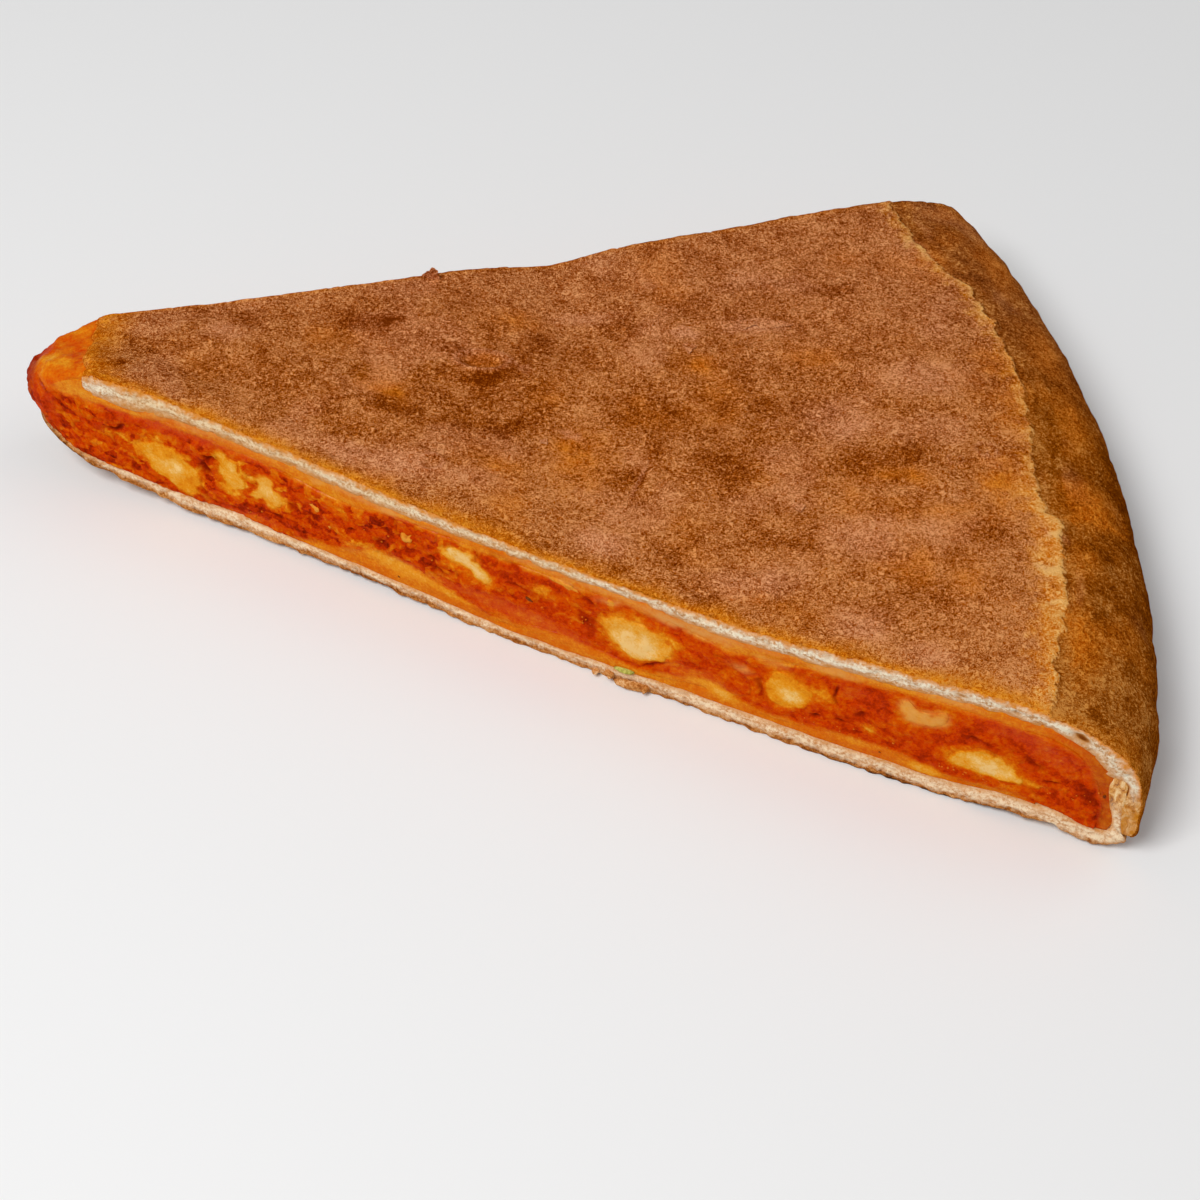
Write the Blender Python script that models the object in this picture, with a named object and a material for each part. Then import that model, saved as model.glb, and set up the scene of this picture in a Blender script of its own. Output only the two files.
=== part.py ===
"""Slice of a stuffed, double-crusted chicken parmesan pizza.

Two sheets of dough hold a saucy filling of chopped chicken between two layers of
melted cheese. The upper sheet domes down over the rim, and the lower sheet turns up
inside it. The slice lies on its lower crust, its tip towards -X and its rim towards
+X. The near cut face looks towards -Y.

Lengths below are millimetres. The meshes are made in metres.

Every layer is a bent brick. Its plan lies on straight rays that run from a small arc,
the rounded tip, to a large arc, the rim. A place in plan is the pair (reach, v):
reach runs from the tip to the rim, measured on the near cut face, and v runs from -1
on the near face to +1 on the far face.
"""

import math

import bpy
import numpy as np

MM = 0.001

# Plan of the slice
TIP_CENTRE = (-105.5, 1.7)
TIP_RADIUS = 7.6
TIP_MIDDLE_ANGLE = math.radians(180.5)
TIP_HALF_ANGLE = math.radians(70.0)
RIM_CENTRE = (-156.3, -45.2)
RIM_RADIUS = 269.4
RIM_NEAR_ANGLE = math.radians(-7.8)
RIM_FAR_ANGLE = math.radians(28.05)
TIP_ZONE = 20.0        # reach up to which distances count from the tip
RIM_ZONE = 23.5        # the last stretch, where distances count from the rim
REACH = 231.7          # length of the near cut face
ORIGIN = (0.08, -0.05) # middle of the slice's box in plan, which is the part's origin
NEAR_BOW = ((0, 0.0), (40, -1.0), (110, 1.6), (165, 2.1), (213, 0.6), (232, 0.0))
FAR_BOW = ((0, 0.0), (25, -0.4), (90, -0.8), (118, -1.9), (142, -0.6), (232, 0.0))

# Heights above the table: (reach, height) on the near and the far cut face
TOP_NEAR = ((9, 31.2), (22, 31.2), (36, 29.8), (52, 28.8), (86, 27.4), (116, 26.7), (146, 26.8),
            (158, 27.6), (170, 28.9), (186, 30.1), (202, 31.1), (208, 30.9))
TOP_FAR = ((9, 27.9), (25, 27.2), (42, 26.7), (80, 26.0), (102, 25.8), (118, 24.4), (134, 25.4),
           (165, 25.6), (190, 26.3), (208, 26.2))
UNDERSIDE = ((2.4, 10.4), (5, 8.3), (11, 5.3), (21, 3.6), (34, 1.4), (56, 1.1), (86, 0.8),
             (104, 0.0), (190, 0.0), (197, 0.4), (208, 1.5))

# Thicknesses
CRUST_TOP_NEAR = ((9, 6.0), (20, 6.3), (30, 4.6), (48, 3.9), (76, 4.3), (106, 3.0), (130, 2.9),
                  (148, 4.0), (160, 4.2), (185, 4.2), (208, 4.0))
CRUST_TOP_FAR = ((9, 5.4), (40, 4.4), (80, 3.9), (120, 4.3), (160, 3.8), (208, 4.1))
CRUST_LOW_NEAR = ((1, 1.4), (6, 2.0), (11, 2.9), (26, 3.7), (38, 4.6), (56, 3.6), (90, 3.1), (110, 3.0),
                  (145, 4.3), (190, 4.6), (208, 4.6))
CRUST_LOW_FAR = ((1, 1.4), (6, 2.0), (12, 3.0), (50, 3.9), (120, 3.4), (160, 4.2), (208, 4.6))
CHEESE_HIGH_NEAR = ((9, 1.5), (30, 1.9), (56, 3.0), (66, 4.0), (80, 1.6), (110, 2.2), (134, 2.3),
                    (152, 3.4), (166, 2.0), (182, 1.9), (190, 1.5), (200, 2.6), (208, 2.7))
CHEESE_HIGH_FAR = ((9, 1.5), (45, 2.6), (85, 1.9), (120, 3.2), (160, 2.0), (208, 2.7))
CHEESE_LOW_NEAR = ((56, 0.8), (66, 2.6), (79, 6.2), (90, 4.0), (100, 2.3), (116, 3.4), (132, 1.8),
                   (146, 4.6), (156, 2.0), (180, 3.2), (195, 1.6), (212, 0.8))
CHEESE_LOW_FAR = ((56, 0.8), (75, 3.0), (100, 1.8), (135, 4.4), (165, 2.0), (190, 2.6), (212, 0.8))
CHEESE_LOW_START = 56.0
CHEESE_LOW_END = 212.0
GAP = 0.35             # air between neighbouring layers
LIP_RISE = 3.0         # the lower crust curls up further in the middle of the tip
LIP_REACH = 12.0
TIP_LIP = 2.6          # the lower crust ends this far short of the tip

# Rim: depth in from the rim's outer face, height above the table
DOME_DEPTH = 23.5
DOME_BASE = 12.5
DOME_INNER_DEPTH = 18.5
DOME_INNER_BASE = 8.4
CHEESE_INNER_DEPTH = 15.8
SLIT_DEPTH = 3.2      # the seam between the two sheets on the rim's face
STRIP_END = 5.0        # height at which the upper sheet ends
EDGE_TOP = 19.4        # height of the lower sheet's turned-up edge
HEEL_RISE = (0.7, 1.1) # height of the heel on the near and the far face
TUCK = (2.9, 0.2, 2.2) # how far the rim's face is pushed in: near corner, middle, far corner
TUCK_BY_HEIGHT = ((4, 0.5), (12, 0.9), (17, 0.9), (26, 0.0))
TUCK_START = 214.0     # reach at which the push begins

# Step where the rim band begins on top
STEP_DEPTH = 20.6
STEP_WANDER = 1.6
STEP_HEIGHT = 0.9
TOOTH = 0.9

# Where the upper crust begins, near the tip
CRUST_START_X = -97.8
MASS_DROP_NEAR = 2.4   # the cheese at the tip lies this much below the crust's top
MASS_DROP_FAR = -0.4

# Chicken on the near face: reach, height, half width, half height, tilt, squareness
CHICKEN_NEAR = (
    (28.8, 13.2, 6.6, 4.9, -28, 2.4),
    (42.9, 16.2, 2.9, 4.6, 14, 2.0),
    (51.6, 15.8, 3.6, 4.1, -12, 2.2),
    (95.2, 16.9, 6.3, 2.4, -27, 2.2),
    (131.0, 13.2, 7.2, 5.5, -14, 1.4),
    (163.7, 14.8, 5.6, 4.6, 6, 2.2),
    (187.2, 20.3, 4.9, 2.6, -4, 2.8),
    (200.4, 12.9, 7.2, 3.5, -6, 1.7),
)
CHICKEN_DEPTH = 9.0
CHICKEN_PROUD = 0.5    # how far a piece stands out of the cut face
CHICKEN_SIDES = 12
CHICKEN_UNEVEN = 0.10
CHICKEN_FAR_COUNT = 7
POCKET_GAP = 0.32
POCKET_MOUTH = 6.0     # a pocket's cutter starts this far outside the cut face
SEED = 11
ROUGH_SPACING = 4.0    # a cut face is rough only where its points lie this far apart

LAYER_COLOURS = {
    "bottom_crust": (0.72, 0.49, 0.29),
    "top_crust": (0.45, 0.16, 0.045),
    "filling": (0.60, 0.10, 0.012),
    "cheese_upper": (0.62, 0.24, 0.05),
    "cheese_lower": (0.78, 0.33, 0.03),
    "chicken": (0.90, 0.66, 0.30),
}


def through(places, knots):
    """Smooth curve through (place, value) knots, level beyond both ends."""
    x = np.array([k[0] for k in knots], float)
    y = np.array([k[1] for k in knots], float)
    slope = np.zeros_like(y)
    step = np.diff(y) / np.diff(x)
    before, after = step[:-1], step[1:]
    same_way = before * after > 0
    harmonic = 2 * before * after / np.where(same_way, before + after, 1)
    slope[1:-1] = np.where(same_way, harmonic, 0)
    p = np.clip(np.asarray(places, float), x[0], x[-1])
    i = np.clip(np.searchsorted(x, p, side="right") - 1, 0, len(x) - 2)
    h = x[i + 1] - x[i]
    t = (p - x[i]) / h
    return (y[i] * (1 + 2 * t) * (1 - t) ** 2 + y[i + 1] * t * t * (3 - 2 * t)
            + h * (slope[i] * t * (1 - t) ** 2 - slope[i + 1] * t * t * (1 - t)))


def across(v, near, far):
    """Blend from a value on the near face to one on the far face."""
    t = (v + 1) / 2
    return near + (far - near) * t * t * (3 - 2 * t)


def ripple(a, b, length, seed):
    """Gentle uneven waves of about the given length, between -1 and 1."""
    rng = np.random.default_rng(seed)
    total = 0
    for _ in range(5):
        turn = rng.uniform(0, math.tau)
        phase = rng.uniform(0, math.tau)
        stretch = rng.uniform(0.7, 1.4) * math.tau / length
        total = total + np.sin(stretch * (a * math.cos(turn) + b * math.sin(turn)) + phase)
    return total / 3.2


# Plan

def on_arc(centre, radius, angle):
    """Plan position at an angle on a circle."""
    return np.stack([centre[0] + radius * np.cos(angle), centre[1] + radius * np.sin(angle)], -1)


def tip_point(v):
    """Where ray v leaves the rounded tip."""
    return on_arc(TIP_CENTRE, TIP_RADIUS, TIP_MIDDLE_ANGLE - TIP_HALF_ANGLE * v)


def rim_point(v):
    """Where ray v reaches the rim's outer face."""
    angle = RIM_NEAR_ANGLE + (RIM_FAR_ANGLE - RIM_NEAR_ANGLE) * (v + 1) / 2
    return on_arc(RIM_CENTRE, RIM_RADIUS, angle)


def plan(reach, v, outward=0.0):
    """Plan position of (reach, v), bowed with the cut faces and moved outward from them."""
    reach, v = np.broadcast_arrays(np.asarray(reach, float), np.asarray(v, float))
    start = tip_point(v)
    ray = rim_point(v) - start
    length = np.hypot(ray[..., 0], ray[..., 1])
    along = ray / length[..., None]
    stretch = (length - TIP_ZONE - RIM_ZONE) / (REACH - TIP_ZONE - RIM_ZONE)
    distance = np.where(reach < TIP_ZONE, reach, TIP_ZONE + (reach - TIP_ZONE) * stretch)
    distance = np.where(reach > REACH - RIM_ZONE, length - (REACH - reach), distance)
    side = np.stack([-along[..., 1], along[..., 0]], -1)
    bow = through(reach, FAR_BOW) * ((1 + v) / 2) ** 2 - through(reach, NEAR_BOW) * ((1 - v) / 2) ** 2
    bow = bow + outward * np.sign(v)
    return start + along * distance[..., None] + side * bow[..., None] - ORIGIN


def crust_start(v):
    """Reach at which the upper crust begins on ray v."""
    start = tip_point(v)
    ray = rim_point(v) - start
    return (CRUST_START_X - start[..., 0]) / (ray[..., 0] / np.hypot(ray[..., 0], ray[..., 1]))


# Heights of the faces between the layers

def top_height(reach, v):
    """Upper skin, before the dome of the rim."""
    sway = 0.5 * ripple(reach, 80 * v, 60.0, 3) * (1 - v * v)
    return across(v, through(reach, TOP_NEAR), through(reach, TOP_FAR)) + sway


def crust_under(reach, v):
    """Lower side of the upper crust."""
    thick = across(v, through(reach, CRUST_TOP_NEAR), through(reach, CRUST_TOP_FAR))
    return across(v, through(reach, TOP_NEAR), through(reach, TOP_FAR)) - thick


def cheese_under(reach, v):
    """Lower side of the upper cheese."""
    thick = across(v, through(reach, CHEESE_HIGH_NEAR), through(reach, CHEESE_HIGH_FAR))
    return crust_under(reach, v) - thick


def underside(reach, v):
    """Lower side of the slice."""
    lip = LIP_RISE * (1 - v * v) * np.clip(1 - reach / LIP_REACH, 0, 1) ** 2
    return through(reach, UNDERSIDE) + lip


def floor_top(reach, v):
    """Upper side of the lower crust."""
    thick = across(v, through(reach, CRUST_LOW_NEAR), through(reach, CRUST_LOW_FAR))
    return underside(reach, v) + thick


def cheese_top(reach, v):
    """Upper side of the lower cheese."""
    thick = across(v, through(reach, CHEESE_LOW_NEAR), through(reach, CHEESE_LOW_FAR))
    return floor_top(reach, v) + GAP + thick


# Stations along a ray that all layers share

MIDDLE = np.linspace(TIP_ZONE, REACH - RIM_ZONE, 27)
STEP_IN = (CHEESE_LOW_START - 0.4, CHEESE_LOW_START)
LOW_MIDDLE = np.unique(np.concatenate([MIDDLE, STEP_IN]))


def tip_stations(v):
    """Stations between the tip and just behind the start of the upper crust."""
    start = float(crust_start(np.array(v)))
    first = TIP_LIP + (start - TIP_LIP) * np.array([0.0, 0.2, 0.45, 0.72])
    return np.concatenate([first, [start - GAP, start - 0.2, start + 3.5]])


def chain(*pieces):
    """Join (reach, height) pieces into one run of points."""
    return np.concatenate([np.atleast_2d(np.asarray(p, float)) for p in pieces])


def level(stations, height, v):
    """Points of a height field over the given stations."""
    return np.stack([stations, height(stations, v)], -1)


def arch(v, depth, base, height, lift, first=10.0, last=90.0, count=9):
    """Quarter ellipse over the rim, between two angles from its crown."""
    angle = np.radians(np.linspace(first, last, count))
    crown = height(np.array([REACH - RIM_ZONE]), v)[0] + lift
    return np.stack([REACH - RIM_ZONE + depth * np.sin(angle), base + (crown - base) * np.cos(angle)], -1)


def step_reach(v):
    """Reach of the jagged step on top, with its teeth."""
    wander = STEP_WANDER * math.cos(2.6 * v + 0.6)
    tooth = TOOTH * (0.7 * math.sin(31 * v) + 0.6 * math.sin(53 * v + 1))
    return REACH - STEP_DEPTH - wander + tooth


def heel(v):
    """Lift of the heel under the rim, from the near face to the far face."""
    return HEEL_RISE[0] + (HEEL_RISE[1] - HEEL_RISE[0]) * (1 + v) / 2


def tuck(reach, height, v):
    """How far a point of the rim is pushed in, most at the rounded corners."""
    part = np.interp(height, *zip(*TUCK_BY_HEIGHT))
    outer = np.clip((reach - TUCK_START) / 12, 0, 1)
    return np.interp(v, [-1, -0.8, 0.8, 1], [TUCK[0], TUCK[1], TUCK[1], TUCK[2]]) * part * outer


# Each layer gives its upper and lower chain on ray v

def top_crust_chains(v):
    """Skin, step and dome above; under side, inner dome and the seam's wall below."""
    start = float(crust_start(np.array(v)))
    first = np.array([start + 0.7, start + 3.5])
    skin = level(np.concatenate([first, MIDDLE[:-1]]), top_height, v)
    rounded = [(start, top_height(start + 0.7, v) - 1.6)]
    edge = step_reach(v)
    crown = float(top_height(REACH - RIM_ZONE, v))
    step = [(edge - 0.5, crown), (edge + 0.5, crown - STEP_HEIGHT)]
    begin = math.degrees(math.asin((edge + 2.5 - REACH + RIM_ZONE) / DOME_DEPTH))
    dome = arch(v, DOME_DEPTH, DOME_BASE, top_height, 0.0, begin, 90.0, 8)
    dome[:, 1] -= STEP_HEIGHT * np.linspace(0.9, 0, 8)
    wall = [(REACH - 0.4, 8.8), (REACH - 1.0, STRIP_END + 0.2 + heel(v))]
    upper = chain(rounded, skin, step, dome, wall)

    slit = REACH - SLIT_DEPTH
    under_crown = float(crust_under(REACH - RIM_ZONE, v))
    reach_down = (EDGE_TOP + 1.6 - DOME_INNER_BASE) / (under_crown - DOME_INNER_BASE)
    last = math.degrees(math.acos(reach_down))
    inner = arch(v, DOME_INNER_DEPTH, DOME_INNER_BASE, crust_under, 0.0, 10.0, last, 6)
    shelf = [(slit - 1.2, EDGE_TOP + 0.5), (slit, EDGE_TOP - 1.5), (slit + 0.2, 12.0), (slit + 0.1, 8.0),
             (slit + 0.4, STRIP_END + 0.1 + heel(v))]
    base = level(np.concatenate([first + 0.2, MIDDLE]), crust_under, v)
    ending = [(start, crust_under(start, v) + 1.2)]
    lower = chain(ending, base, inner, shelf)
    return upper, lower


def bottom_crust_chains(v):
    """Upper face with the inside of the turned-up edge; underside with the heel and the seam."""
    stations = np.concatenate([tip_stations(v), LOW_MIDDLE])
    rise = heel(v)
    slit = REACH - SLIT_DEPTH - GAP
    keel = [(212.0, 1.9), (214.5, 2.4), (217.0, 1.3), (220.0, rise), (224.0, rise), (227.0, 1.1 + rise),
            (229.6, 2.7 + rise), (230.4, 4.5 + rise), (slit + 0.1, 4.7 + rise), (slit - 0.2, 12.0),
            (slit - 0.5, EDGE_TOP - 2.2), (slit - 1.8, EDGE_TOP - 0.3)]
    bowl = [(212.0, 6.1), (214.5, 6.0), (217.0, 5.6), (219.5, 5.15), (221.5, 4.8), (223.0, 4.7),
            (224.4, 4.8), (225.5, 5.3), (226.4, 6.4), (226.5, 10.0), (225.0, 15.5),
            (224.2, EDGE_TOP - 0.2)]
    return chain(level(stations, floor_top, v), bowl), chain(level(stations, underside, v), keel)


def cheese_upper_chains(v):
    """Cheese that lines the upper crust and follows its dome down."""
    start = float(crust_start(np.array(v))) + 0.5
    first = np.array([start, start + 3.5])
    reach = np.concatenate([first, MIDDLE])
    high = level(reach, lambda r, w: crust_under(r, w) - GAP, v)
    low = level(reach, cheese_under, v)
    outer = arch(v, DOME_INNER_DEPTH - GAP, DOME_INNER_BASE, crust_under, -GAP)
    outer[:, 0] = np.minimum(outer[:, 0], inner_wall(outer[:, 1]) - 2 * GAP)
    inner = arch(v, CHEESE_INNER_DEPTH, DOME_INNER_BASE, cheese_under, 0.0)
    return chain(high, outer, [(225.0, 5.9)]), chain(low, inner, [(222.6, 5.4)])


def inner_wall(height):
    """Reach of the lower sheet's turned-up edge on its inner side, and open above it."""
    heights = [5.3, 6.4, 10.0, 15.5, EDGE_TOP - 0.2, EDGE_TOP + 0.6]
    return np.interp(height, heights, [225.5, 226.4, 226.5, 225.0, 224.2, 240.0])


def filling_chains(v):
    """Open mass at the tip, then the saucy filling between the two cheeses."""
    start = float(crust_start(np.array(v)))
    drop = across(v, MASS_DROP_NEAR, MASS_DROP_FAR)
    crown = top_height(start, v) - drop
    mass = [(0.9, 17.4), (0.4, 20.8), (2.2, crown - 4.6), (5.2, crown - 2.0), (start - 2.6, crown - 0.6),
            (start - GAP, crown - 0.1), (start - 0.2, cheese_under(start, v) - GAP)]
    roof = level(np.concatenate([[start + 3.5], LOW_MIDDLE]), lambda r, w: cheese_under(r, w) - GAP, v)
    inner = arch(v, CHEESE_INNER_DEPTH - GAP, DOME_INNER_BASE, cheese_under, -GAP, 10.0, 82.0)
    upper = chain(mass, roof, inner, [(222.7, 7.4)])

    def bed(reach, w):
        over_cheese = (reach >= CHEESE_LOW_START) & (reach <= CHEESE_LOW_END)
        return np.where(over_cheese, cheese_top(reach, w), floor_top(reach, w)) + GAP

    stations = np.concatenate([tip_stations(v)[1:], LOW_MIDDLE])
    lip = [(1.9, 15.0 + 0.6 * (1 - v * v)), (3.3, float(floor_top(3.3, v)) + GAP)]
    bowl = np.linspace(210.0, 221.6, 10)
    beyond = np.stack([bowl, np.interp(bowl, [210.5, 212.5, 218.0, 221.6], [7.2, 6.9, 5.9, 5.6])], -1)
    lower = chain(lip, level(stations, bed, v), beyond)
    return upper, lower


def cheese_lower_chains(v):
    """Cheese on the lower crust."""
    middle = LOW_MIDDLE[LOW_MIDDLE >= CHEESE_LOW_START]
    high = level(middle, cheese_top, v)
    low = level(middle, lambda r, w: floor_top(r, w) + GAP, v)
    return chain(high, [(210.5, 6.9)]), chain(low, [(210.5, 6.2 + GAP)])


# Meshes

def match(upper, lower):
    """Give both chains the same number of points: the longer one sets it."""
    count = max(len(upper), len(lower))
    while len(upper) < count:
        upper = halve_longest(upper)
    while len(lower) < count:
        lower = halve_longest(lower)
    return upper, lower


def halve_longest(run):
    """Add one point in the middle of the run's longest step."""
    i = int(np.argmax(np.hypot(*np.diff(run, axis=0).T)))
    return np.insert(run, i + 1, (run[i] + run[i + 1]) / 2, axis=0)


def brick(name, chains, lines, layers, relief, inset):
    """Closed mesh of a layer: a lattice of chain points x layers x rays, on its six sides."""
    runs = [chains(v) for v in lines]
    counts = {(len(u), len(w)) for u, w in runs}
    if len(counts) != 1:
        raise ValueError(f"{name}: the chains differ in length between rays: {counts}")
    pairs = [match(u, w) for u, w in runs]
    upper = np.array([p[0] for p in pairs])
    lower = np.array([p[1] for p in pairs])
    t = np.linspace(0, 1, layers + 1)[:, None, None, None]
    lattice = lower + (upper - lower) * t
    reach = lattice[..., 0]
    height = lattice[..., 1]
    v = np.broadcast_to(np.asarray(lines, float)[None, :, None], reach.shape)
    reach = reach - tuck(reach, height, v)
    rng = np.random.default_rng(SEED + len(name))
    apart = np.hypot(np.diff(reach, axis=2), np.diff(height, axis=2)).min(axis=0)
    room = np.zeros(reach.shape)
    room[..., 1:-1] = np.minimum(apart[..., :-1], apart[..., 1:])
    calm = np.clip(room / ROUGH_SPACING, 0, 1) ** 2
    rough = relief * calm * rng.uniform(-1, 1, reach.shape) - inset
    faces_only = np.zeros(reach.shape)
    faces_only[:, 0, :] = 1
    faces_only[:, -1, :] = 1
    position = plan(reach, v, rough * faces_only)
    points = np.concatenate([position, height[..., None]], -1)
    return lattice_mesh(name, points)


def lattice_mesh(name, points):
    """Triangles over the six sides of a lattice of points (layer, ray, station)."""
    sizes = points.shape[:3]
    index = np.arange(np.prod(sizes)).reshape(sizes)
    sides = [
        (index[-1], False),
        (index[0], True),
        (index[:, 0, :], False),
        (index[:, -1, :], True),
        (index[:, :, 0], True),
        (index[:, :, -1], False),
    ]
    triangles = []
    for grid, flip in sides:
        a, b = grid[:-1, :-1].ravel(), grid[:-1, 1:].ravel()
        c, d = grid[1:, 1:].ravel(), grid[1:, :-1].ravel()
        pair = np.concatenate([np.stack([a, b, c], -1), np.stack([a, c, d], -1)])
        triangles.append(pair[:, ::-1] if flip else pair)
    triangles = np.concatenate(triangles)
    used, renumbered = np.unique(triangles, return_inverse=True)
    vertices = points.reshape(-1, 3)[used] * MM
    return new_object(name, vertices, renumbered.reshape(-1, 3))


def new_object(name, vertices, triangles):
    """Object with the given mesh, in the scene."""
    mesh = bpy.data.meshes.new(name)
    mesh.from_pydata(vertices.tolist(), [], triangles.tolist())
    mesh.validate()
    mesh.update()
    obj = bpy.data.objects.new(name, mesh)
    bpy.context.scene.collection.objects.link(obj)
    return obj


def squircle(angle, squareness):
    """Radius of a rounded diamond, ellipse or rounded square, by its power."""
    return (np.abs(np.cos(angle)) ** squareness + np.abs(np.sin(angle)) ** squareness) ** (-1 / squareness)


def chunk(name, face, reach, height, half, tilt, squareness, depth, seed, grow=0.0):
    """Chopped piece of chicken in a cut face: rings that narrow as they go inward."""
    base = plan(reach, float(face))
    ahead = plan(reach + 1.0, float(face))
    along = (ahead - base) / np.hypot(*(ahead - base))
    inward = np.array([-along[1], along[0]]) * -face
    rng = np.random.default_rng(seed)
    angle = np.linspace(0, math.tau, CHICKEN_SIDES, endpoint=False)
    turned = angle - math.radians(tilt)
    radius = squircle(turned, squareness) * (1 + CHICKEN_UNEVEN * rng.uniform(-1, 1, angle.shape))
    wide = radius * np.cos(turned) * (half[0] + grow)
    tall = radius * np.sin(turned) * (half[1] + grow)
    local = np.stack([wide, tall], -1)
    c, s = math.cos(math.radians(tilt)), math.sin(math.radians(tilt))
    outline = local @ np.array([[c, s], [-s, c]])
    rings = [(-CHICKEN_PROUD, 0.80), (-0.3 * CHICKEN_PROUD, 0.97), (depth * 0.4, 1.0),
             (depth * 0.8, 0.75), (depth, 0.35)]
    if grow:
        rings = [(-POCKET_MOUTH, 1.0), (0.0, 1.0), (depth * 0.4, 1.02),
                 (depth * 0.8, 0.84), (depth + 2 * grow, 0.45)]
    points = []
    for inner, scale in rings:
        flat = base + outline[:, :1] * scale * along + inner * inward
        points.append(np.concatenate([flat, height + outline[:, 1:] * scale], -1))
    count = len(angle)
    middle_out = np.append(base + (rings[0][0] - 0.25) * inward, height)
    middle_in = np.append(base + (rings[-1][0] + 0.4) * inward, height)
    vertices = np.concatenate(points + [middle_out[None], middle_in[None]]) * MM
    triangles = []
    for r in range(len(rings) - 1):
        for i in range(count):
            a, b = r * count + i, r * count + (i + 1) % count
            triangles += [(a, b, b + count), (a, b + count, a + count)]
    last = (len(rings) - 1) * count
    hub = len(rings) * count
    for i in range(count):
        triangles += [(hub, (i + 1) % count, i), (hub + 1, last + i, last + (i + 1) % count)]
    triangles = np.array(triangles)
    return new_object(name, vertices, triangles[:, ::-1] if face < 0 else triangles)


def cut_pockets(target, cutters):
    """Take the cutters out of the target and remove them."""
    group = bpy.data.collections.new("pockets")
    bpy.context.scene.collection.children.link(group)
    for cutter in cutters:
        cutter.hide_render = True
        cutter.display_type = "WIRE"
        bpy.context.scene.collection.objects.unlink(cutter)
        group.objects.link(cutter)
    cut = target.modifiers.new("pockets", "BOOLEAN")
    cut.operation = "DIFFERENCE"
    cut.operand_type = "COLLECTION"
    cut.collection = group
    cut.solver = "EXACT"
    view = bpy.context.evaluated_depsgraph_get()
    carved = bpy.data.meshes.new_from_object(target.evaluated_get(view))
    target.modifiers.clear()
    target.data = carved
    for cutter in cutters:
        bpy.data.objects.remove(cutter)
    bpy.data.collections.remove(group)


def far_chicken():
    """Evenly spread, uneven pieces of chicken on the far face."""
    rng = np.random.default_rng(SEED)
    pieces = []
    for i in range(CHICKEN_FAR_COUNT):
        reach = 34 + i * 27 + rng.uniform(-5, 5)
        half = (rng.uniform(3.4, 6.8), rng.uniform(2.8, 4.4))
        low = float(cheese_top(np.array(reach), 1.0)) + half[1] * 1.25 + 1.2
        high = float(cheese_under(np.array(reach), 1.0)) - half[1] * 1.25 - 1.2
        height = low + (high - low) * rng.uniform(0.2, 0.8)
        pieces.append((reach, height, half[0], half[1], rng.uniform(-18, 18), rng.uniform(1.6, 2.6)))
    return pieces


def make_chicken():
    """All pieces of chicken, and the cutters of their pockets."""
    pieces = []
    cutters = []
    for face, word, places in ((-1, "near", CHICKEN_NEAR), (1, "far", far_chicken())):
        for number, (reach, height, wide, tall, tilt, squareness) in enumerate(places, 1):
            seed = 100 * (face + 2) + number
            depth = CHICKEN_DEPTH * (0.8 + 0.4 * ((number * 37) % 10) / 10)
            spec = (face, reach, height, (wide, tall), tilt, squareness, depth, seed)
            pieces.append(chunk(f"chicken_{word}_{number}", *spec))
            cutters.append(chunk(f"pocket_{word}_{number}", *spec, grow=POCKET_GAP))
    return pieces, cutters


def paint(obj, colour, roughness):
    """Give an object its own material."""
    material = bpy.data.materials.get(obj.name) or bpy.data.materials.new(obj.name)
    material.use_nodes = True
    shader = material.node_tree.nodes["Principled BSDF"]
    shader.inputs["Base Color"].default_value = (*colour, 1.0)
    shader.inputs["Roughness"].default_value = roughness
    shader.inputs["Metallic"].default_value = 0.0
    obj.data.materials.clear()
    obj.data.materials.append(material)


def main():
    """Remove what the scene holds and model the slice."""
    for obj in list(bpy.data.objects):
        bpy.data.objects.remove(obj)
    crust_lines = np.linspace(-1, 1, 13)
    inner_lines = np.linspace(-1, 1, 7)
    filling = brick("filling", filling_chains, inner_lines, layers=5, relief=0.7, inset=0.5)
    layers = [
        brick("bottom_crust", bottom_crust_chains, inner_lines, layers=2, relief=0.25, inset=0.0),
        brick("cheese_lower", cheese_lower_chains, inner_lines, layers=1, relief=0.2, inset=0.3),
        filling,
        brick("cheese_upper", cheese_upper_chains, inner_lines, layers=1, relief=0.2, inset=0.3),
        brick("top_crust", top_crust_chains, crust_lines, layers=2, relief=0.25, inset=0.0),
    ]
    pieces, cutters = make_chicken()
    cut_pockets(filling, cutters)
    for obj in layers:
        paint(obj, LAYER_COLOURS[obj.name], 0.6)
    for obj in pieces:
        paint(obj, LAYER_COLOURS["chicken"], 0.5)


main()
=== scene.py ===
"""Looks of a slice of stuffed, double-crusted chicken parmesan pizza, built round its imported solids.

Lengths in the making functions are millimetres; make_piece turns them into metres. A place on
the slice is the triple (reach, height, v): reach runs from the tip to the rim along the near
cut face, height is above the table, and v runs from -1 on the near face to +1 on the far face.
"""
import math
from itertools import product

import bpy
import numpy as np
from mathutils import Matrix


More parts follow.
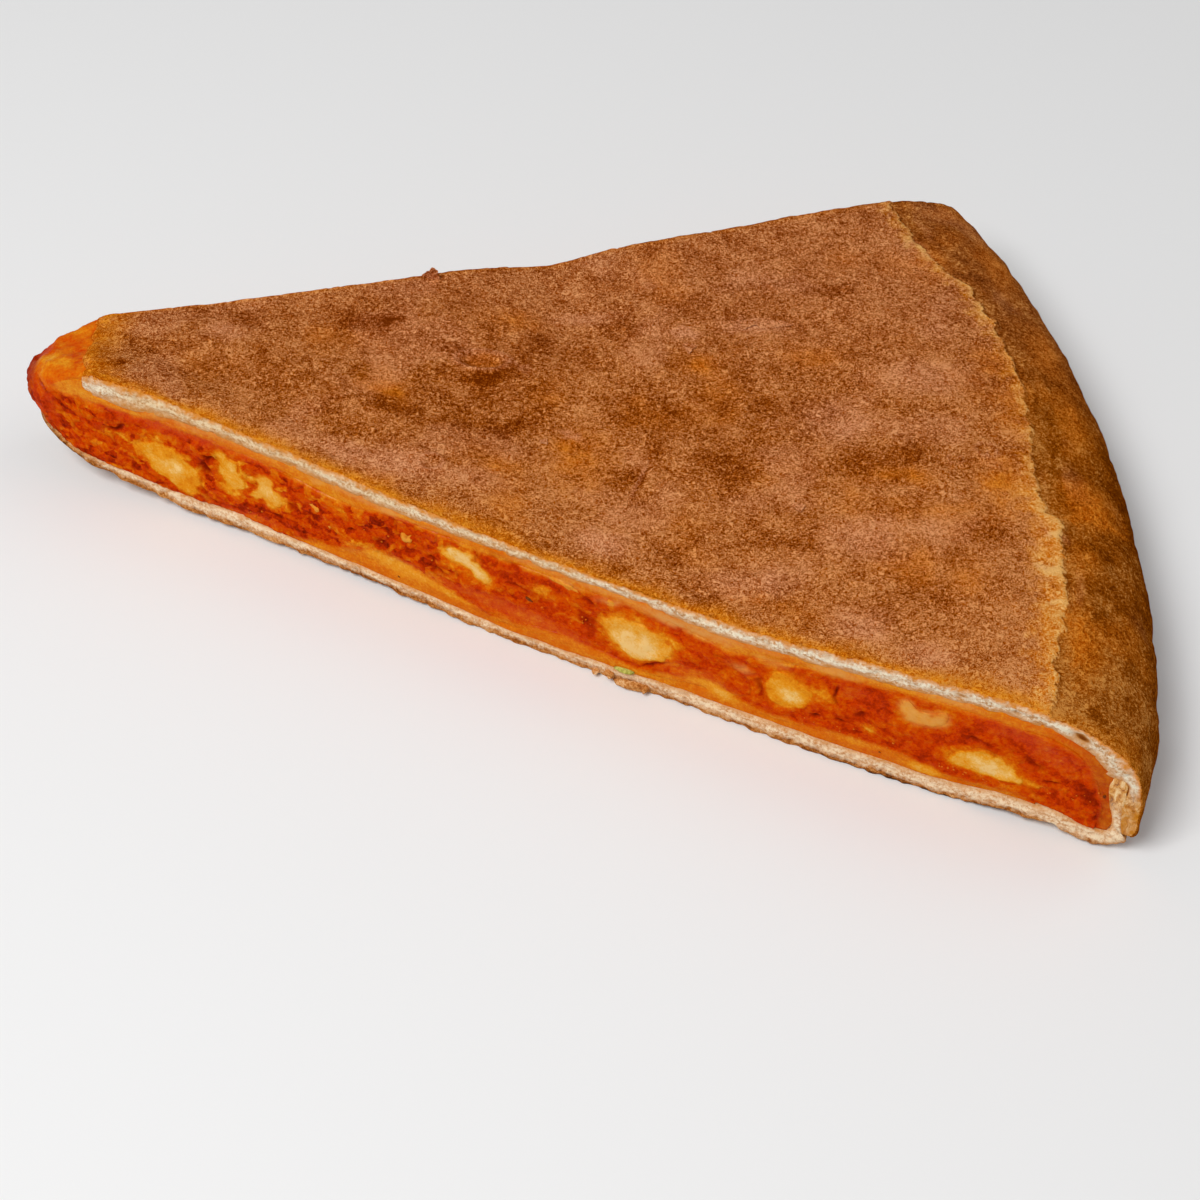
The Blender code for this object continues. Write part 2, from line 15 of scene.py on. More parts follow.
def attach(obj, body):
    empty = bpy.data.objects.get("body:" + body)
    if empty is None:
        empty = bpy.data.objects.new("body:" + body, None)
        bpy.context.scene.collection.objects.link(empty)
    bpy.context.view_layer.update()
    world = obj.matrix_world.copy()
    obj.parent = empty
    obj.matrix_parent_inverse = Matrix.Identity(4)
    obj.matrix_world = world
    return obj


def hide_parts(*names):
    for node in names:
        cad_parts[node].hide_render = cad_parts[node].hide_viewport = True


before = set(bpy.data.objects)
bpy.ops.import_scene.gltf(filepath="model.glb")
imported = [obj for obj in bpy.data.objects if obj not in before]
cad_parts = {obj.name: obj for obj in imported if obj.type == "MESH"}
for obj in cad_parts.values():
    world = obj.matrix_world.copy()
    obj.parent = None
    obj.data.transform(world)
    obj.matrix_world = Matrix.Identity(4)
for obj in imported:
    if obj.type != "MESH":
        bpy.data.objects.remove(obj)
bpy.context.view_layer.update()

bl_info = {
    "name": "Chicken parm pizza slice",
    "version": (1, 0, 0),
    "blender": (4, 5, 0),
    "location": "View3D > Sidebar > Pizza slice",
    "description": "Makes the crusts, cheese, filling and chicken of one slice round its solids",
    "category": "Add Mesh",
}

MM = 0.001

# Plan of the slice, as in the solids
TIP_CENTRE = (-105.5, 1.7)
TIP_RADIUS = 7.6
TIP_MIDDLE_ANGLE = math.radians(180.5)
TIP_HALF_ANGLE = math.radians(70.0)
RIM_CENTRE = (-156.3, -45.2)
RIM_RADIUS = 269.4
RIM_NEAR_ANGLE = math.radians(-7.8)
RIM_FAR_ANGLE = math.radians(28.05)
TIP_ZONE = 20.0
RIM_ZONE = 23.5
REACH = 231.7
BEND = REACH - RIM_ZONE
ORIGIN = (0.08, -0.05)
NEAR_BOW = ((0, 0.0), (40, -1.0), (110, 1.6), (165, 2.1), (213, 0.6), (232, 0.0))
FAR_BOW = ((0, 0.0), (25, -0.4), (90, -0.8), (118, -1.9), (142, -0.6), (232, 0.0))

# Heights and thicknesses: (reach, millimetres) on the near and the far cut face
TOP = (
    ((9, 31.2), (22, 31.2), (36, 29.8), (52, 28.8), (86, 27.4), (116, 26.7), (146, 26.8), (158, 27.6),
     (170, 28.9), (186, 30.1), (202, 31.1), (208, 30.9)),
    ((9, 27.9), (25, 27.2), (42, 26.7), (80, 26.0), (102, 25.8), (118, 24.4), (134, 25.4), (165, 25.6),
     (190, 26.3), (208, 26.2)),
)
UNDERSIDE = ((2.4, 10.4), (5, 8.3), (11, 5.3), (21, 3.6), (34, 1.4), (56, 1.1), (86, 0.8),
             (104, 0.0), (190, 0.0), (197, 0.4), (208, 1.5))
CRUST_TOP = (
    ((9, 6.0), (20, 6.3), (30, 4.6), (48, 3.9), (76, 4.3), (106, 3.0), (130, 2.9), (148, 4.0), (160, 4.2),
     (185, 4.2), (208, 4.0)),
    ((9, 5.4), (40, 4.4), (80, 3.9), (120, 4.3), (160, 3.8), (208, 4.1)),
)
CRUST_LOW = (
    ((1, 1.4), (6, 2.0), (11, 2.9), (26, 3.7), (38, 4.6), (56, 3.6), (90, 3.1), (110, 3.0), (145, 4.3),
     (190, 4.6), (208, 4.6)),
    ((1, 1.4), (6, 2.0), (12, 3.0), (50, 3.9), (120, 3.4), (160, 4.2), (208, 4.6)),
)
CHEESE_HIGH = (
    ((9, 1.5), (30, 1.9), (56, 3.0), (66, 4.0), (80, 1.6), (110, 2.2), (134, 2.3), (152, 3.4), (166, 2.0),
     (182, 1.9), (190, 1.5), (200, 2.6), (208, 2.7)),
    ((9, 1.5), (45, 2.6), (85, 1.9), (120, 3.2), (160, 2.0), (208, 2.7)),
)
CHEESE_LOW = (
    ((56, 0.8), (66, 2.6), (79, 6.2), (90, 4.0), (100, 2.3), (116, 3.4), (132, 1.8), (146, 4.6), (156, 2.0),
     (180, 3.2), (195, 1.6), (212, 0.8)),
    ((56, 0.8), (75, 3.0), (100, 1.8), (135, 4.4), (165, 2.0), (190, 2.6), (212, 0.8)),
)
CHEESE_LOW_START = 56.0
CHEESE_LOW_END = 210.5
LIP_RISE = 3.0
LIP_REACH = 12.0
TIP_LIP = 2.6
CRUST_START_X = -97.8
MASS_DROP_NEAR = 2.4
MASS_DROP_FAR = -0.4
LUMP_HEIGHT = 0.42
MASS_BACK = 3.6

# Rim
DOME_DEPTH = 23.5
DOME_BASE = 12.5
DOME_INNER_DEPTH = 18.5
DOME_INNER_BASE = 8.4
CHEESE_INNER_DEPTH = 15.8
SLIT = REACH - 3.2
STRIP_END = 5.0
EDGE_TOP = 19.4
# Inner side of the turned-up edge as (height, reach)
TURNED_UP_EDGE = ((5.3, 225.5), (6.4, 226.4), (10.0, 226.5), (15.5, 225.0), (EDGE_TOP - 0.2, 224.2),
                  (EDGE_TOP + 0.6, 240.0))
HEEL_RISE = (0.7, 1.1)
TUCK = (2.9, 0.2, 2.2)
TUCK_BY_HEIGHT = ((4, 0.5), (12, 0.9), (17, 0.9), (26, 0.0))
TUCK_START = 214.0
STEP_LINE = ((-1, 209.2), (-0.92, 209.8), (-0.8, 209.5), (-0.69, 211.0), (-0.58, 212.0), (-0.48, 211.4),
             (-0.36, 212.6), (-0.335, 212.4), (-0.325, 209.8), (-0.17, 209.6), (0.08, 212.3), (0.21, 213.4),
             (0.48, 213.4), (0.59, 213.2), (0.66, 210.6), (0.81, 208.6), (1, 209.5))
STEP_HEIGHT = 0.6
# Chicken in the near cut face: its outline as (reach, height) corners, its pale core as an oval (reach,
# height, half length, half height, turn), and how pale the core, how golden the edge and how milky the
# piece is
CHICKEN_NEAR = (
    (((21.4, 15.5), (24.4, 18.0), (28.4, 18.2), (31.6, 16.5), (33.5, 14.8), (35.1, 12.7), (34.9, 10.1),
      (33.7, 7.1), (31.8, 6.3), (29.6, 7.0), (27.5, 8.5), (25.3, 9.2), (23.7, 11.4)),
     (28.2, 12.6, 3.8, 2.3, -12), 0.94, 0.69, 0.0),
    (((38.9, 20.9), (40.6, 21.7), (42.0, 20.3), (44.0, 19.8), (44.3, 17.5), (45.4, 15.4), (45.1, 13.5),
      (43.7, 12.6), (41.9, 10.4), (40.7, 11.9), (40.3, 14.2), (39.3, 16.6), (39.7, 19.2)),
     (42.1, 16.6, 1.7, 4.2, -8), 0.85, 0.73, 0.0),
    (((47.4, 17.5), (49.1, 19.1), (50.9, 19.4), (52.6, 18.2), (52.1, 16.7), (53.7, 16.3), (54.7, 14.5),
      (53.4, 12.5), (51.5, 10.8), (50.2, 11.1), (49.1, 12.5), (47.7, 12.1), (45.7, 12.3), (47.7, 14.6),
      (48.3, 16.6)),
     (51.2, 15.2, 3.2, 2.0, -40), 0.90, 0.72, 0.08),
    (((89.4, 17.3), (90.4, 19.4), (93.0, 20.4), (96.4, 20.7), (97.0, 18.7), (98.9, 17.2), (100.3, 14.9),
      (99.2, 13.2), (96.8, 14.2), (95.0, 15.9), (92.6, 15.9)),
     (94.6, 18.0, 5.6, 1.9, -26), 1.0, 0.74, 0.1),
    (((123.6, 14.9), (125.2, 17.2), (128.6, 18.2), (133.4, 18.0), (136.8, 16.2), (138.6, 13.9),
      (137.4, 11.4), (135.0, 9.4), (131.0, 8.0), (127.6, 9.6), (125.2, 12.0)),
     (131.2, 12.3, 5.2, 3.9, -18), 1.0, 0.72, 0.08),
    (((157.5, 16.5), (159.0, 19.0), (161.0, 19.2), (163.7, 18.0), (166.2, 16.8), (166.4, 13.6),
      (164.6, 11.0), (161.6, 10.0), (159.4, 10.0), (157.9, 11.0), (157.2, 13.4)),
     (162.5, 13.5, 2.3, 1.9, 0), 0.97, 0.66, 0.0),
    (((182.4, 21.4), (184.0, 22.8), (185.9, 21.6), (188.4, 21.4), (191.0, 22.6), (192.0, 20.8),
      (190.8, 18.8), (187.6, 17.7), (184.6, 17.8), (182.9, 19.4)),
     (187.4, 19.6, 4.6, 1.8, 0), 0.80, 0.70, 0.75),
    (((193.3, 11.0), (195.8, 14.2), (199.2, 16.1), (203.4, 15.0), (206.0, 13.0), (207.5, 11.0),
      (205.0, 9.7), (201.0, 9.5), (196.6, 9.7)),
     (201.2, 12.2, 4.8, 2.0, -16), 0.97, 0.76, 0.0),
)
CHICKEN_DEPTH = 9.0
CHICKEN_FAR_COUNT = 7
SEED = 11

# What the top skin shows: x, y, half length, half width, turn in degrees, strength
SCORCHED_AND_SHADOWS = (
    (-44.9, 19.2, 5.6, 3.4, 0, 1.2), (-29.2, 13.5, 5.0, 2.6, 0, 0.9), (-15.5, 8.0, 7.5, 2.6, 35, 0.8),
    (-10.4, 18.2, 3.0, 4.0, 0, 0.6), (-35.6, -6.0, 4.5, 2.8, 0, 0.6), (8.6, -3.4, 3.8, 3.4, 0, 0.6),
    (5.8, 25.8, 5.8, 3.6, 0, 0.8), (45.9, 41.1, 8.0, 2.4, 0, 0.9), (29.1, -15.4, 5.0, 6.4, 0, 0.9),
    (8.8, -20.1, 4.0, 4.6, 0, 0.7), (52.6, -13.0, 6.4, 3.6, 10, 0.7), (65.1, -9.3, 6.0, 3.2, -20, 0.8),
    (79.3, -31.2, 5.0, 4.9, 0, 0.7), (41.8, -34.0, 6.0, 2.7, 0, 0.5), (-15.3, -10.0, 3.0, 5.0, 0, 0.5),
    (20.5, 32.6, 8.0, 3.8, 0, 0.5), (-70.8, 17.2, 12.0, 3.0, 5, 0.6), (-98.7, 6.5, 1.3, 1.5, 0, 1.6),
    (-41.5, 20.3, 1.8, 0.8, 10, 1.8), (-2.8, 2.1, 0.5, 0.5, 0, 1.8), (-19.2, -25.6, 0.8, 0.5, 20, 1.8),
    # The last two are painted shadows: below the dent, and a strip along the crust's start by the tip
    (-21.0, 4.4, 5.0, 2.0, 8, 1.0), (-94.0, -4.8, 4.2, 1.2, 28, 1.3),
)
FLOURED = (
    (-34.4, -22.7, 8.9, 4.6, -8, 1.1), (-45.2, -20.3, 5.0, 2.7, -8, 0.8), (6.8, -38.3, 6.0, 4.0, -10, 1.1),
    (56.3, -32.8, 7.5, 6.0, 0, 0.9), (55.4, -56.0, 5.5, 4.6, 0, 0.8), (68.0, -62.5, 5.0, 3.0, 0, 0.8),
    (33.4, -46.2, 7.5, 4.6, 0, 0.8), (67.6, 14.0, 9.5, 5.5, 0, 0.8), (18.4, 24.0, 2.4, 2.4, 0, 1.0),
    (32.9, 27.7, 6.9, 2.6, 0, 1.0), (50.2, 0.1, 8.0, 6.0, 0, 0.9), (-19.4, -24.8, 6.5, 4.0, -10, 0.6),
    (-73.5, 10.6, 5.5, 3.0, 10, 0.7), (-1.9, 27.3, 7.0, 2.4, 10, 0.7), (12.0, -14.5, 2.4, 4.0, 30, 0.4),
    (92.3, -28.8, 2.0, 1.4, 0, 1.1), (90.3, -38.4, 2.6, 1.6, 0, 1.2), (92.1, -47.3, 1.8, 1.4, 0, 1.0),
    (-2.5, -9.5, 3.0, 1.0, -20, 0.9), (-13.8, 10.2, 2.6, 1.1, -15, 0.8),
)
TOASTED = (
    (0.5, -15.9, 6.0, 8.5, 0, 0.7), (-18.0, -18.5, 6.0, 3.6, 0, 0.6), (62.8, -15.2, 6.0, 2.8, 0, 1.0),
    (-39.8, -1.2, 5.0, 3.4, 0, 0.9), (-16.6, 24.0, 6.0, 3.2, 0, 0.9), (45.3, 19.3, 6.0, 3.8, 0, 0.7),
    (82.1, -15.8, 4.6, 8.2, 0, 1.0), (80.9, 21.9, 4.4, 4.1, 0, 0.9), (38.1, -50.6, 12.0, 2.4, -18, 0.6),
    (-7.3, 1.7, 4.0, 5.0, 0, 0.5), (84.6, 3.6, 3.6, 5.4, 0, 0.7), (98.7, -16.4, 5.0, 7.0, 0, 1.2),
    (97.0, -34.0, 3.0, 6.0, 0, 0.6), (98.0, -58.0, 3.0, 5.0, 0, 0.6), (94.9, -54.9, 3.0, 12.0, 0, 0.7),
    (98.0, 6.0, 4.0, 9.0, 0, 0.9), (93.0, 30.0, 4.0, 9.0, 12, 0.8), (84.0, 58.0, 4.0, 10.0, 18, 0.8),
    (69.4, 53.1, 3.6, 8.2, 0, 0.8), (100.5, -21.4, 7.0, 0.9, 12, 1.0), (20.5, 15.2, 4.5, 3.6, 0, 0.7),
    (-21.4, 10.2, 3.9, 1.9, 0, 1.0), (75.4, -42.0, 4.0, 6.0, 0, 0.6),
)
BLISTERS = ((73.4, -9.9, 1.5), (79.4, -6.3, 2.1), (80.6, -7.6, 1.1), (-27.7, -21.5, 2.3), (37.6, -1.6, 1.2))
DENT = (-21.3, 10.2, 4.5, 2.3)
CREASE = (12.9, -20.5)

# What the near cut face shows: reach, height, half length, half height, turn, strength
# Deep hollows: sunk in the relief, and painted darker and redder as shade
DEEP = (
    (16.8, 18.9, 2.9, 0.5, 28, 1.0), (36.4, 15.2, 0.8, 1.5, 0, 1.0), (37.4, 18.0, 0.7, 0.8, 0, 1.0),
    (38.6, 19.6, 0.8, 0.5, 0, 0.9), (56.6, 14.2, 1.0, 0.8, 0, 0.7), (52.8, 9.4, 1.6, 0.6, 10, 0.9),
    (76.5, 13.5, 1.2, 1.3, 0, 0.6), (86.8, 14.8, 1.4, 0.9, 0, 0.8), (89.0, 12.4, 1.0, 0.6, 0, 0.8),
    (101.9, 22.3, 3.0, 0.7, -14, 1.3), (106.4, 16.0, 2.0, 0.4, -30, 0.7), (121.6, 18.8, 1.6, 0.6, -20, 0.7),
    (121.0, 13.0, 1.0, 2.6, 25, 0.6), (135.0, 8.8, 3.6, 0.4, 32, 0.9), (160.0, 22.1, 5.4, 0.4, 12, 0.9),
    (156.6, 12.6, 0.7, 2.4, 0, 0.7), (170.8, 18.0, 0.4, 2.3, 4, 1.0), (167.3, 10.6, 0.8, 0.5, 0, 1.0),
    (171.4, 11.2, 0.7, 0.4, 0, 0.9), (175.4, 15.0, 1.2, 0.6, 20, 0.7), (183.0, 7.6, 0.5, 0.3, 0, 0.9),
    (208.2, 17.0, 2.2, 1.0, -28, 0.7), (221.2, 12.2, 3.2, 1.6, -42, 0.7), (224.0, 8.0, 1.4, 1.8, 0, 0.7),
    (212.0, 13.6, 1.6, 0.5, 15, 0.7), (197.4, 18.0, 3.0, 0.6, -10, 0.6), (69.0, 13.6, 0.8, 0.5, 0, 0.7),
)
GOLDEN = (
    (27.0, 20.6, 5.6, 1.2, -4, 0.14), (62.0, 9.6, 5.0, 1.2, 6, 0.16), (72.0, 10.6, 5.0, 1.2, 4, 0.22),
    (67.8, 17.4, 2.3, 1.8, 0, 0.24), (63.4, 19.6, 5.0, 1.2, -6, 0.16), (81.0, 8.4, 8.0, 1.8, -2, 0.26),
    (90.6, 7.0, 5.0, 1.2, -6, 0.24), (106.0, 8.2, 12.0, 2.4, -6, 0.13), (112.0, 17.3, 3.8, 1.7, -12, 0.26),
    (118.0, 17.6, 2.6, 1.0, -24, 0.16), (137.8, 17.0, 2.6, 1.2, -30, 0.2), (142.4, 9.4, 6.0, 1.8, -8, 0.24),
    (149.6, 7.2, 3.4, 1.6, 0, 0.24), (168.6, 16.2, 3.0, 2.0, -8, 0.24), (177.6, 11.9, 1.9, 1.4, 0, 0.3),
    (173.6, 7.2, 5.0, 1.0, 0, 0.12), (189.6, 5.6, 3.2, 1.2, 0, 0.3), (193.0, 12.0, 2.0, 2.4, 0, 0.2),
    (209.4, 11.4, 2.6, 0.8, -14, 0.2), (217.4, 22.0, 5.5, 2.4, -34, -0.15),
    (224.4, 14.0, 1.6, 5.0, 0, -0.12), (43.6, 6.0, 8.0, 0.9, 4, 0.08),
)
MILKY = (
    (31.5, 25.6, 8.0, 1.0, -1, 0.7), (61.6, 23.6, 2.2, 0.9, 0, 0.6), (76.6, 23.2, 4.0, 1.1, -2, 0.8),
    (116.3, 21.9, 2.8, 0.7, -6, 0.6), (125.2, 21.6, 2.4, 0.9, 10, 0.6), (140.6, 22.4, 10.0, 1.7, -2, 1.0),
    (169.6, 23.9, 4.8, 1.0, 0, 0.8), (152.2, 15.8, 2.2, 1.0, -8, 0.6), (158.0, 20.4, 3.0, 0.8, 0, 0.4),
)
GLAZED = (
    (108.0, 8.2, 13.0, 2.6, -6, 1.0), (80.0, 9.0, 12.0, 2.0, 0, 0.8), (144.0, 9.0, 8.0, 2.4, -6, 0.7),
    (28.0, 24.0, 18.0, 2.0, -2, 1.0), (207.0, 22.0, 12.0, 2.4, -20, 0.8), (176.0, 6.6, 9.0, 1.4, 0, 0.5),
    (45.0, 6.4, 9.0, 1.2, 2, 0.6), (175.0, 20.0, 5.0, 2.0, 0, 0.4),
)
# Small things in the near cut face: reach, height, half length, half height, turn
PEPPER = ((108.4, 13.9, 1.1, 0.5, -25), (222.0, 14.2, 0.4, 0.6, 0), (80.0, 5.9, 0.4, 0.3, 0),
          (180.6, 6.6, 0.3, 0.22, 0), (66.0, 11.0, 0.25, 0.2, 0))
ONIONS = ((116.2, 21.3, 2.4, 0.8, -6), (125.4, 21.0, 1.9, 0.8, 12), (61.4, 15.6, 1.5, 1.0, 10),
          (81.9, 17.4, 1.1, 1.3, 5), (64.6, 12.6, 1.0, 0.6, -20))
LEAF = (129.4, 4.1, 2.1, 0.6, 8)
CRUMBS = ((130.6, 0.9, 2.9, 0.8, 4), (126.2, 1.9, 1.2, 0.5, -8), (133.6, 1.3, 0.9, 0.6, 0),
          (123.2, 1.2, 0.6, 0.4, 0))
DROPLETS = ((191.4, 206.6, 8.6, 0.6, 26), (36.0, 52.0, 8.0, 1.6, 10), (110.0, 123.0, 14.0, 3.0, 9),
            (60.0, 90.0, 15.0, 3.0, 18), (165.0, 184.0, 9.0, 2.0, 10), (212.0, 224.0, 12.0, 3.0, 10))
FLAKES = ((20.0, 19.8, 1.2, 1.4, 0), (36.1, 29.3, 3.6, 1.4, 0), (31.4, 28.4, 1.6, 1.2, 20),
          (43.5, -25.2, 0.9, 1.2, 60), (-6.7, -11.8, 0.8, 0.7, 0), (71.0, 31.0, 1.0, 0.6, 30))
STANDING_FLAKE = (-34.6, 34.5, 1.6, 1.5)
# Marks on the tip's open mass: its crack by x and height, painted dark as shade, and the brown patch and
# spots by x and y, the first spot a painted highlight
MASS_CRACK = (-107.6, 23.2, 1.5, 0.4, -42, 1.0)
MASS_BROWN = (-98.9, 6.6, 1.2, 1.4, 0, 0.9)
MASS_HIGHLIGHT_AND_SPOTS = ((-102.9, -2.8, 2.6, 1.6, -30, 0.14), (-101.2, 1.2, 2.2, 2.8, 0, -0.08),
              (-105.5, 2.0, 2.5, 3.0, 0, 0.06))
# Hollow, then small holes in the upper crust's near cut face, as marks of the face, painted dark as shade;
# only the hollow is also sunk
HOLES = ((215.5, 27.3, 1.9, 0.9, -22, 1.6), (193.2, 28.6, 1.5, 0.5, -8, 1.2),
         (203.4, 28.4, 1.2, 0.4, -12, 1.1))

# The upper crust's front edge: its depth, and how square it is, where 1 is round and less is blunter
EDGE_DEPTH = 2.4
BLUNT = 0.5
# Distance over which a crust's rough cut face fades inside the slice
CRUST_FADE = 1.6

# Meshes: rows along the slice, rays across it, and reach of the lower sheet's bed
EDGE_ROWS = 8
SKIN_ROWS = 330
DOME_ROWS = 62
WALL_ROWS = 11
TOP_RAYS = 196
BED_START = 4.0
BED_END = 210.0
BED_ROWS = 470
MASS_ROWS = 150

# Camera, lights (name, place, size and watts) and strength of the white surround
CAMERA_PLACE = (0.019249, -0.369069, 0.365617)
CAMERA_AZIMUTH = -2.1
CAMERA_ELEVATION = -46.99
CAMERA_ROLL = 3.51
CAMERA_LENS = 75.57
LIGHTS = (("key light", (-0.45, -0.55, 1.0), 0.55, 11), ("fill light", (0.7, 0.2, 0.9), 1.0, 2))
SURROUND = 0.27


def srgb(red, green, blue):
    """Linear colour of one given as 0 to 255 on a screen."""
    return tuple(c / 12.92 / 255 if c <= 10.31 else ((c / 255 + 0.055) / 1.055) ** 2.4
                 for c in (red, green, blue)) + (1.0,)


# Shape functions shared with the solids

def through(places, knots):
    """Smooth curve through (place, value) knots, level beyond both ends."""
    x, y = np.array(knots, float).T
    slope = np.zeros_like(y)
    step = np.diff(y) / np.diff(x)
    before, after = step[:-1], step[1:]
    same_way = before * after > 0
    slope[1:-1] = np.where(same_way, 2 * before * after / np.where(same_way, before + after, 1), 0)
    p = np.clip(np.asarray(places, float), x[0], x[-1])
    i = np.clip(np.searchsorted(x, p, side="right") - 1, 0, len(x) - 2)
    h = x[i + 1] - x[i]
    t = (p - x[i]) / h
    return (y[i] * (1 + 2 * t) * (1 - t) ** 2 + y[i + 1] * t * t * (3 - 2 * t)
            + h * (slope[i] * t * (1 - t) ** 2 - slope[i + 1] * t * t * (1 - t)))


def swell(edge0, edge1, x):
    """0 below the first edge, 1 above the second, 3tt - 2ttt between."""
    t = np.clip((x - edge0) / (edge1 - edge0), 0, 1)
    return t * t * (3 - 2 * t)


def band(x, middle, width):
    """1 at the middle, falling off to both sides: e to the minus squared distance in widths."""
    return np.exp(-((x - middle) / width) ** 2)


def across(v, near, far):
    """Blend from a value on the near face to one on the far face."""
    return near + (far - near) * swell(-1, 1, v)


def between(reach, v, knots):
    """Blend from the near face's curve to the far face's one."""
    return across(v, through(reach, knots[0]), through(reach, knots[1]))


def turned(x, y, degrees):
    """The place (x, y) turned about the origin."""
    c, s = math.cos(math.radians(degrees)), math.sin(math.radians(degrees))
    return x * c - y * s, x * s + y * c


def ripple(a, b, length, seed):
    """Gentle uneven waves of about the given length, between -1 and 1."""
    rng = np.random.default_rng(seed)
    total = 0
    for _ in range(5):
        turn = rng.uniform(0, math.tau)
        phase = rng.uniform(0, math.tau)
        stretch = rng.uniform(0.7, 1.4) * math.tau / length
        total = total + np.sin(stretch * (a * math.cos(turn) + b * math.sin(turn)) + phase)
    return total / 3.2


def on_arc(centre, radius, angle):
    """Plan position at an angle on a circle."""
    return np.stack([centre[0] + radius * np.cos(angle), centre[1] + radius * np.sin(angle)], -1)


def ray_at(v):
    """Ray v of the plan: where it leaves the rounded tip, its direction and its length to the outer rim."""
    start = on_arc(TIP_CENTRE, TIP_RADIUS, TIP_MIDDLE_ANGLE - TIP_HALF_ANGLE * v)
    rim_angle = RIM_NEAR_ANGLE + (RIM_FAR_ANGLE - RIM_NEAR_ANGLE) * (v + 1) / 2
    ray = on_arc(RIM_CENTRE, RIM_RADIUS, rim_angle) - start
    length = np.hypot(ray[..., 0], ray[..., 1])
    return start, ray / length[..., None], length


def plan(reach, v, sideways=0.0):
    """Plan position of (reach, v), bowed with the cut faces and moved towards the far side."""
    reach, v = np.broadcast_arrays(np.asarray(reach, float), np.asarray(v, float))
    start, along, length = ray_at(v)
    stretch = (length - TIP_ZONE - RIM_ZONE) / (REACH - TIP_ZONE - RIM_ZONE)
    distance = np.where(reach < TIP_ZONE, reach, TIP_ZONE + (reach - TIP_ZONE) * stretch)
    distance = np.where(reach > BEND, length - (REACH - reach), distance)
    side = np.stack([-along[..., 1], along[..., 0]], -1)
    bow = through(reach, FAR_BOW) * ((1 + v) / 2) ** 2 - through(reach, NEAR_BOW) * ((1 - v) / 2) ** 2
    return start + along * distance[..., None] + side * (bow + sideways)[..., None] - ORIGIN


def crust_start(v):
    """Reach at which the upper crust begins on ray v."""
    start, along, _ = ray_at(v)
    return (CRUST_START_X - start[..., 0]) / along[..., 0]


def top_height(reach, v):
    """Upper skin, before the dome of the rim."""
    return between(reach, v, TOP) + 0.5 * ripple(reach, 80 * v, 60.0, 3) * (1 - v * v)


def crust_under(reach, v):
    """Lower side of the upper crust."""
    return between(reach, v, TOP) - between(reach, v, CRUST_TOP)


def cheese_under(reach, v):
    """Lower side of the upper cheese."""
    return crust_under(reach, v) - between(reach, v, CHEESE_HIGH)


def underside(reach, v):
    """Lower side of the slice."""
    return through(reach, UNDERSIDE) + LIP_RISE * (1 - v * v) * np.clip(1 - reach / LIP_REACH, 0, 1) ** 2


def floor_top(reach, v):
    """Upper side of the lower crust."""
    return underside(reach, v) + between(reach, v, CRUST_LOW)


def cheese_top(reach, v):
    """Upper side of the lower cheese."""
    return floor_top(reach, v) + 0.35 + between(reach, v, CHEESE_LOW)


def heel(v):
    """Lift of the heel under the rim, from the near face to the far face."""
    return np.interp(v, (-1, 1), HEEL_RISE)


def tuck(reach, height, v):
    """How far a point of the rim is pushed in, most at the rounded corners."""
    part = np.interp(height, *zip(*TUCK_BY_HEIGHT))
    outer = np.clip((reach - TUCK_START) / 12, 0, 1)
    return np.interp(v, [-1, -0.8, 0.8, 1], [TUCK[0], TUCK[1], TUCK[1], TUCK[2]]) * part * outer


# Uneven surfaces

def chance(i, j, k, seed):
    """A number from 0 to 1 for each whole-numbered place, mixed from its numbers and the seed."""
    n = ((i * 73856093) ^ (j * 19349663) ^ (k * 83492791) ^ (seed * 26544357)) & 0xFFFFFFFF
    n = ((n ^ (n >> 15)) * 739982445) & 0xFFFFFFFF
    n = ((n ^ (n >> 13)) * 695872825) & 0xFFFFFFFF
    return ((n ^ (n >> 16)) & 0xFFFFFF) / 0xFFFFFF


def grain(p, size, seed):
    """Smooth waves from -1 to 1: chances at the corners of cubes of the given size, blended by 3tt - 2ttt."""
    low = np.floor(p / size).astype(np.int64)
    t = p / size - low
    t = t * t * (3 - 2 * t)
    total = 0
    for corner in product((0, 1), repeat=3):
        i, j, k = (low[..., n] + corner[n] for n in range(3))
        x, y, z = (np.abs(1 - corner[n] - t[..., n]) for n in range(3))
        total = total + x * y * z * chance(i, j, k, seed)
    return 2 * total - 1


def rough(p, size, seed, octaves=3, fall=0.5):
    """Sum of grains, each half the size and fall times the height of the one before, from about -1 to 1."""
    total = sum(fall ** n * grain(p + 17.3 * n, size / 2 ** n, seed + n) for n in range(octaves))
    return total * 1.5 / sum(fall ** n for n in range(octaves))


def pebbles(p, size, seed):
    """Cells round points scattered one to a cube.

    Gives the distance to the nearest point, to the next one, and the nearest one's own chance.
    """
    q = p / size
    low = np.floor(q).astype(np.int64)
    first, second, own = np.full(q.shape[:-1], 9.0), np.full(q.shape[:-1], 9.0), np.zeros(q.shape[:-1])
    for step in product((-1, 0, 1), repeat=3):
        i, j, k = cell = [low[..., n] + step[n] for n in range(3)]
        d = np.sqrt(sum((cell[n] + chance(i, j, k, seed + n) - q[..., n]) ** 2 for n in range(3)))
        closer = d < first
        second = np.where(closer, first, np.minimum(second, d))
        own = np.where(closer, chance(i, j, k, seed + 3), own)
        first = np.where(closer, d, first)
    return first, second, own


def patches(a, b, places):
    """Sum of soft ovals: strength times e to the minus 2.8th power of the distance in half lengths."""
    total = np.zeros(np.broadcast(a, b).shape)
    for x, y, long, wide, turn, strength in places:
        dx, dy = turned(a - x, b - y, -turn)
        total = total + strength * np.exp(-((dx / long) ** 2 + (dy / wide) ** 2) ** 1.4)
    return total


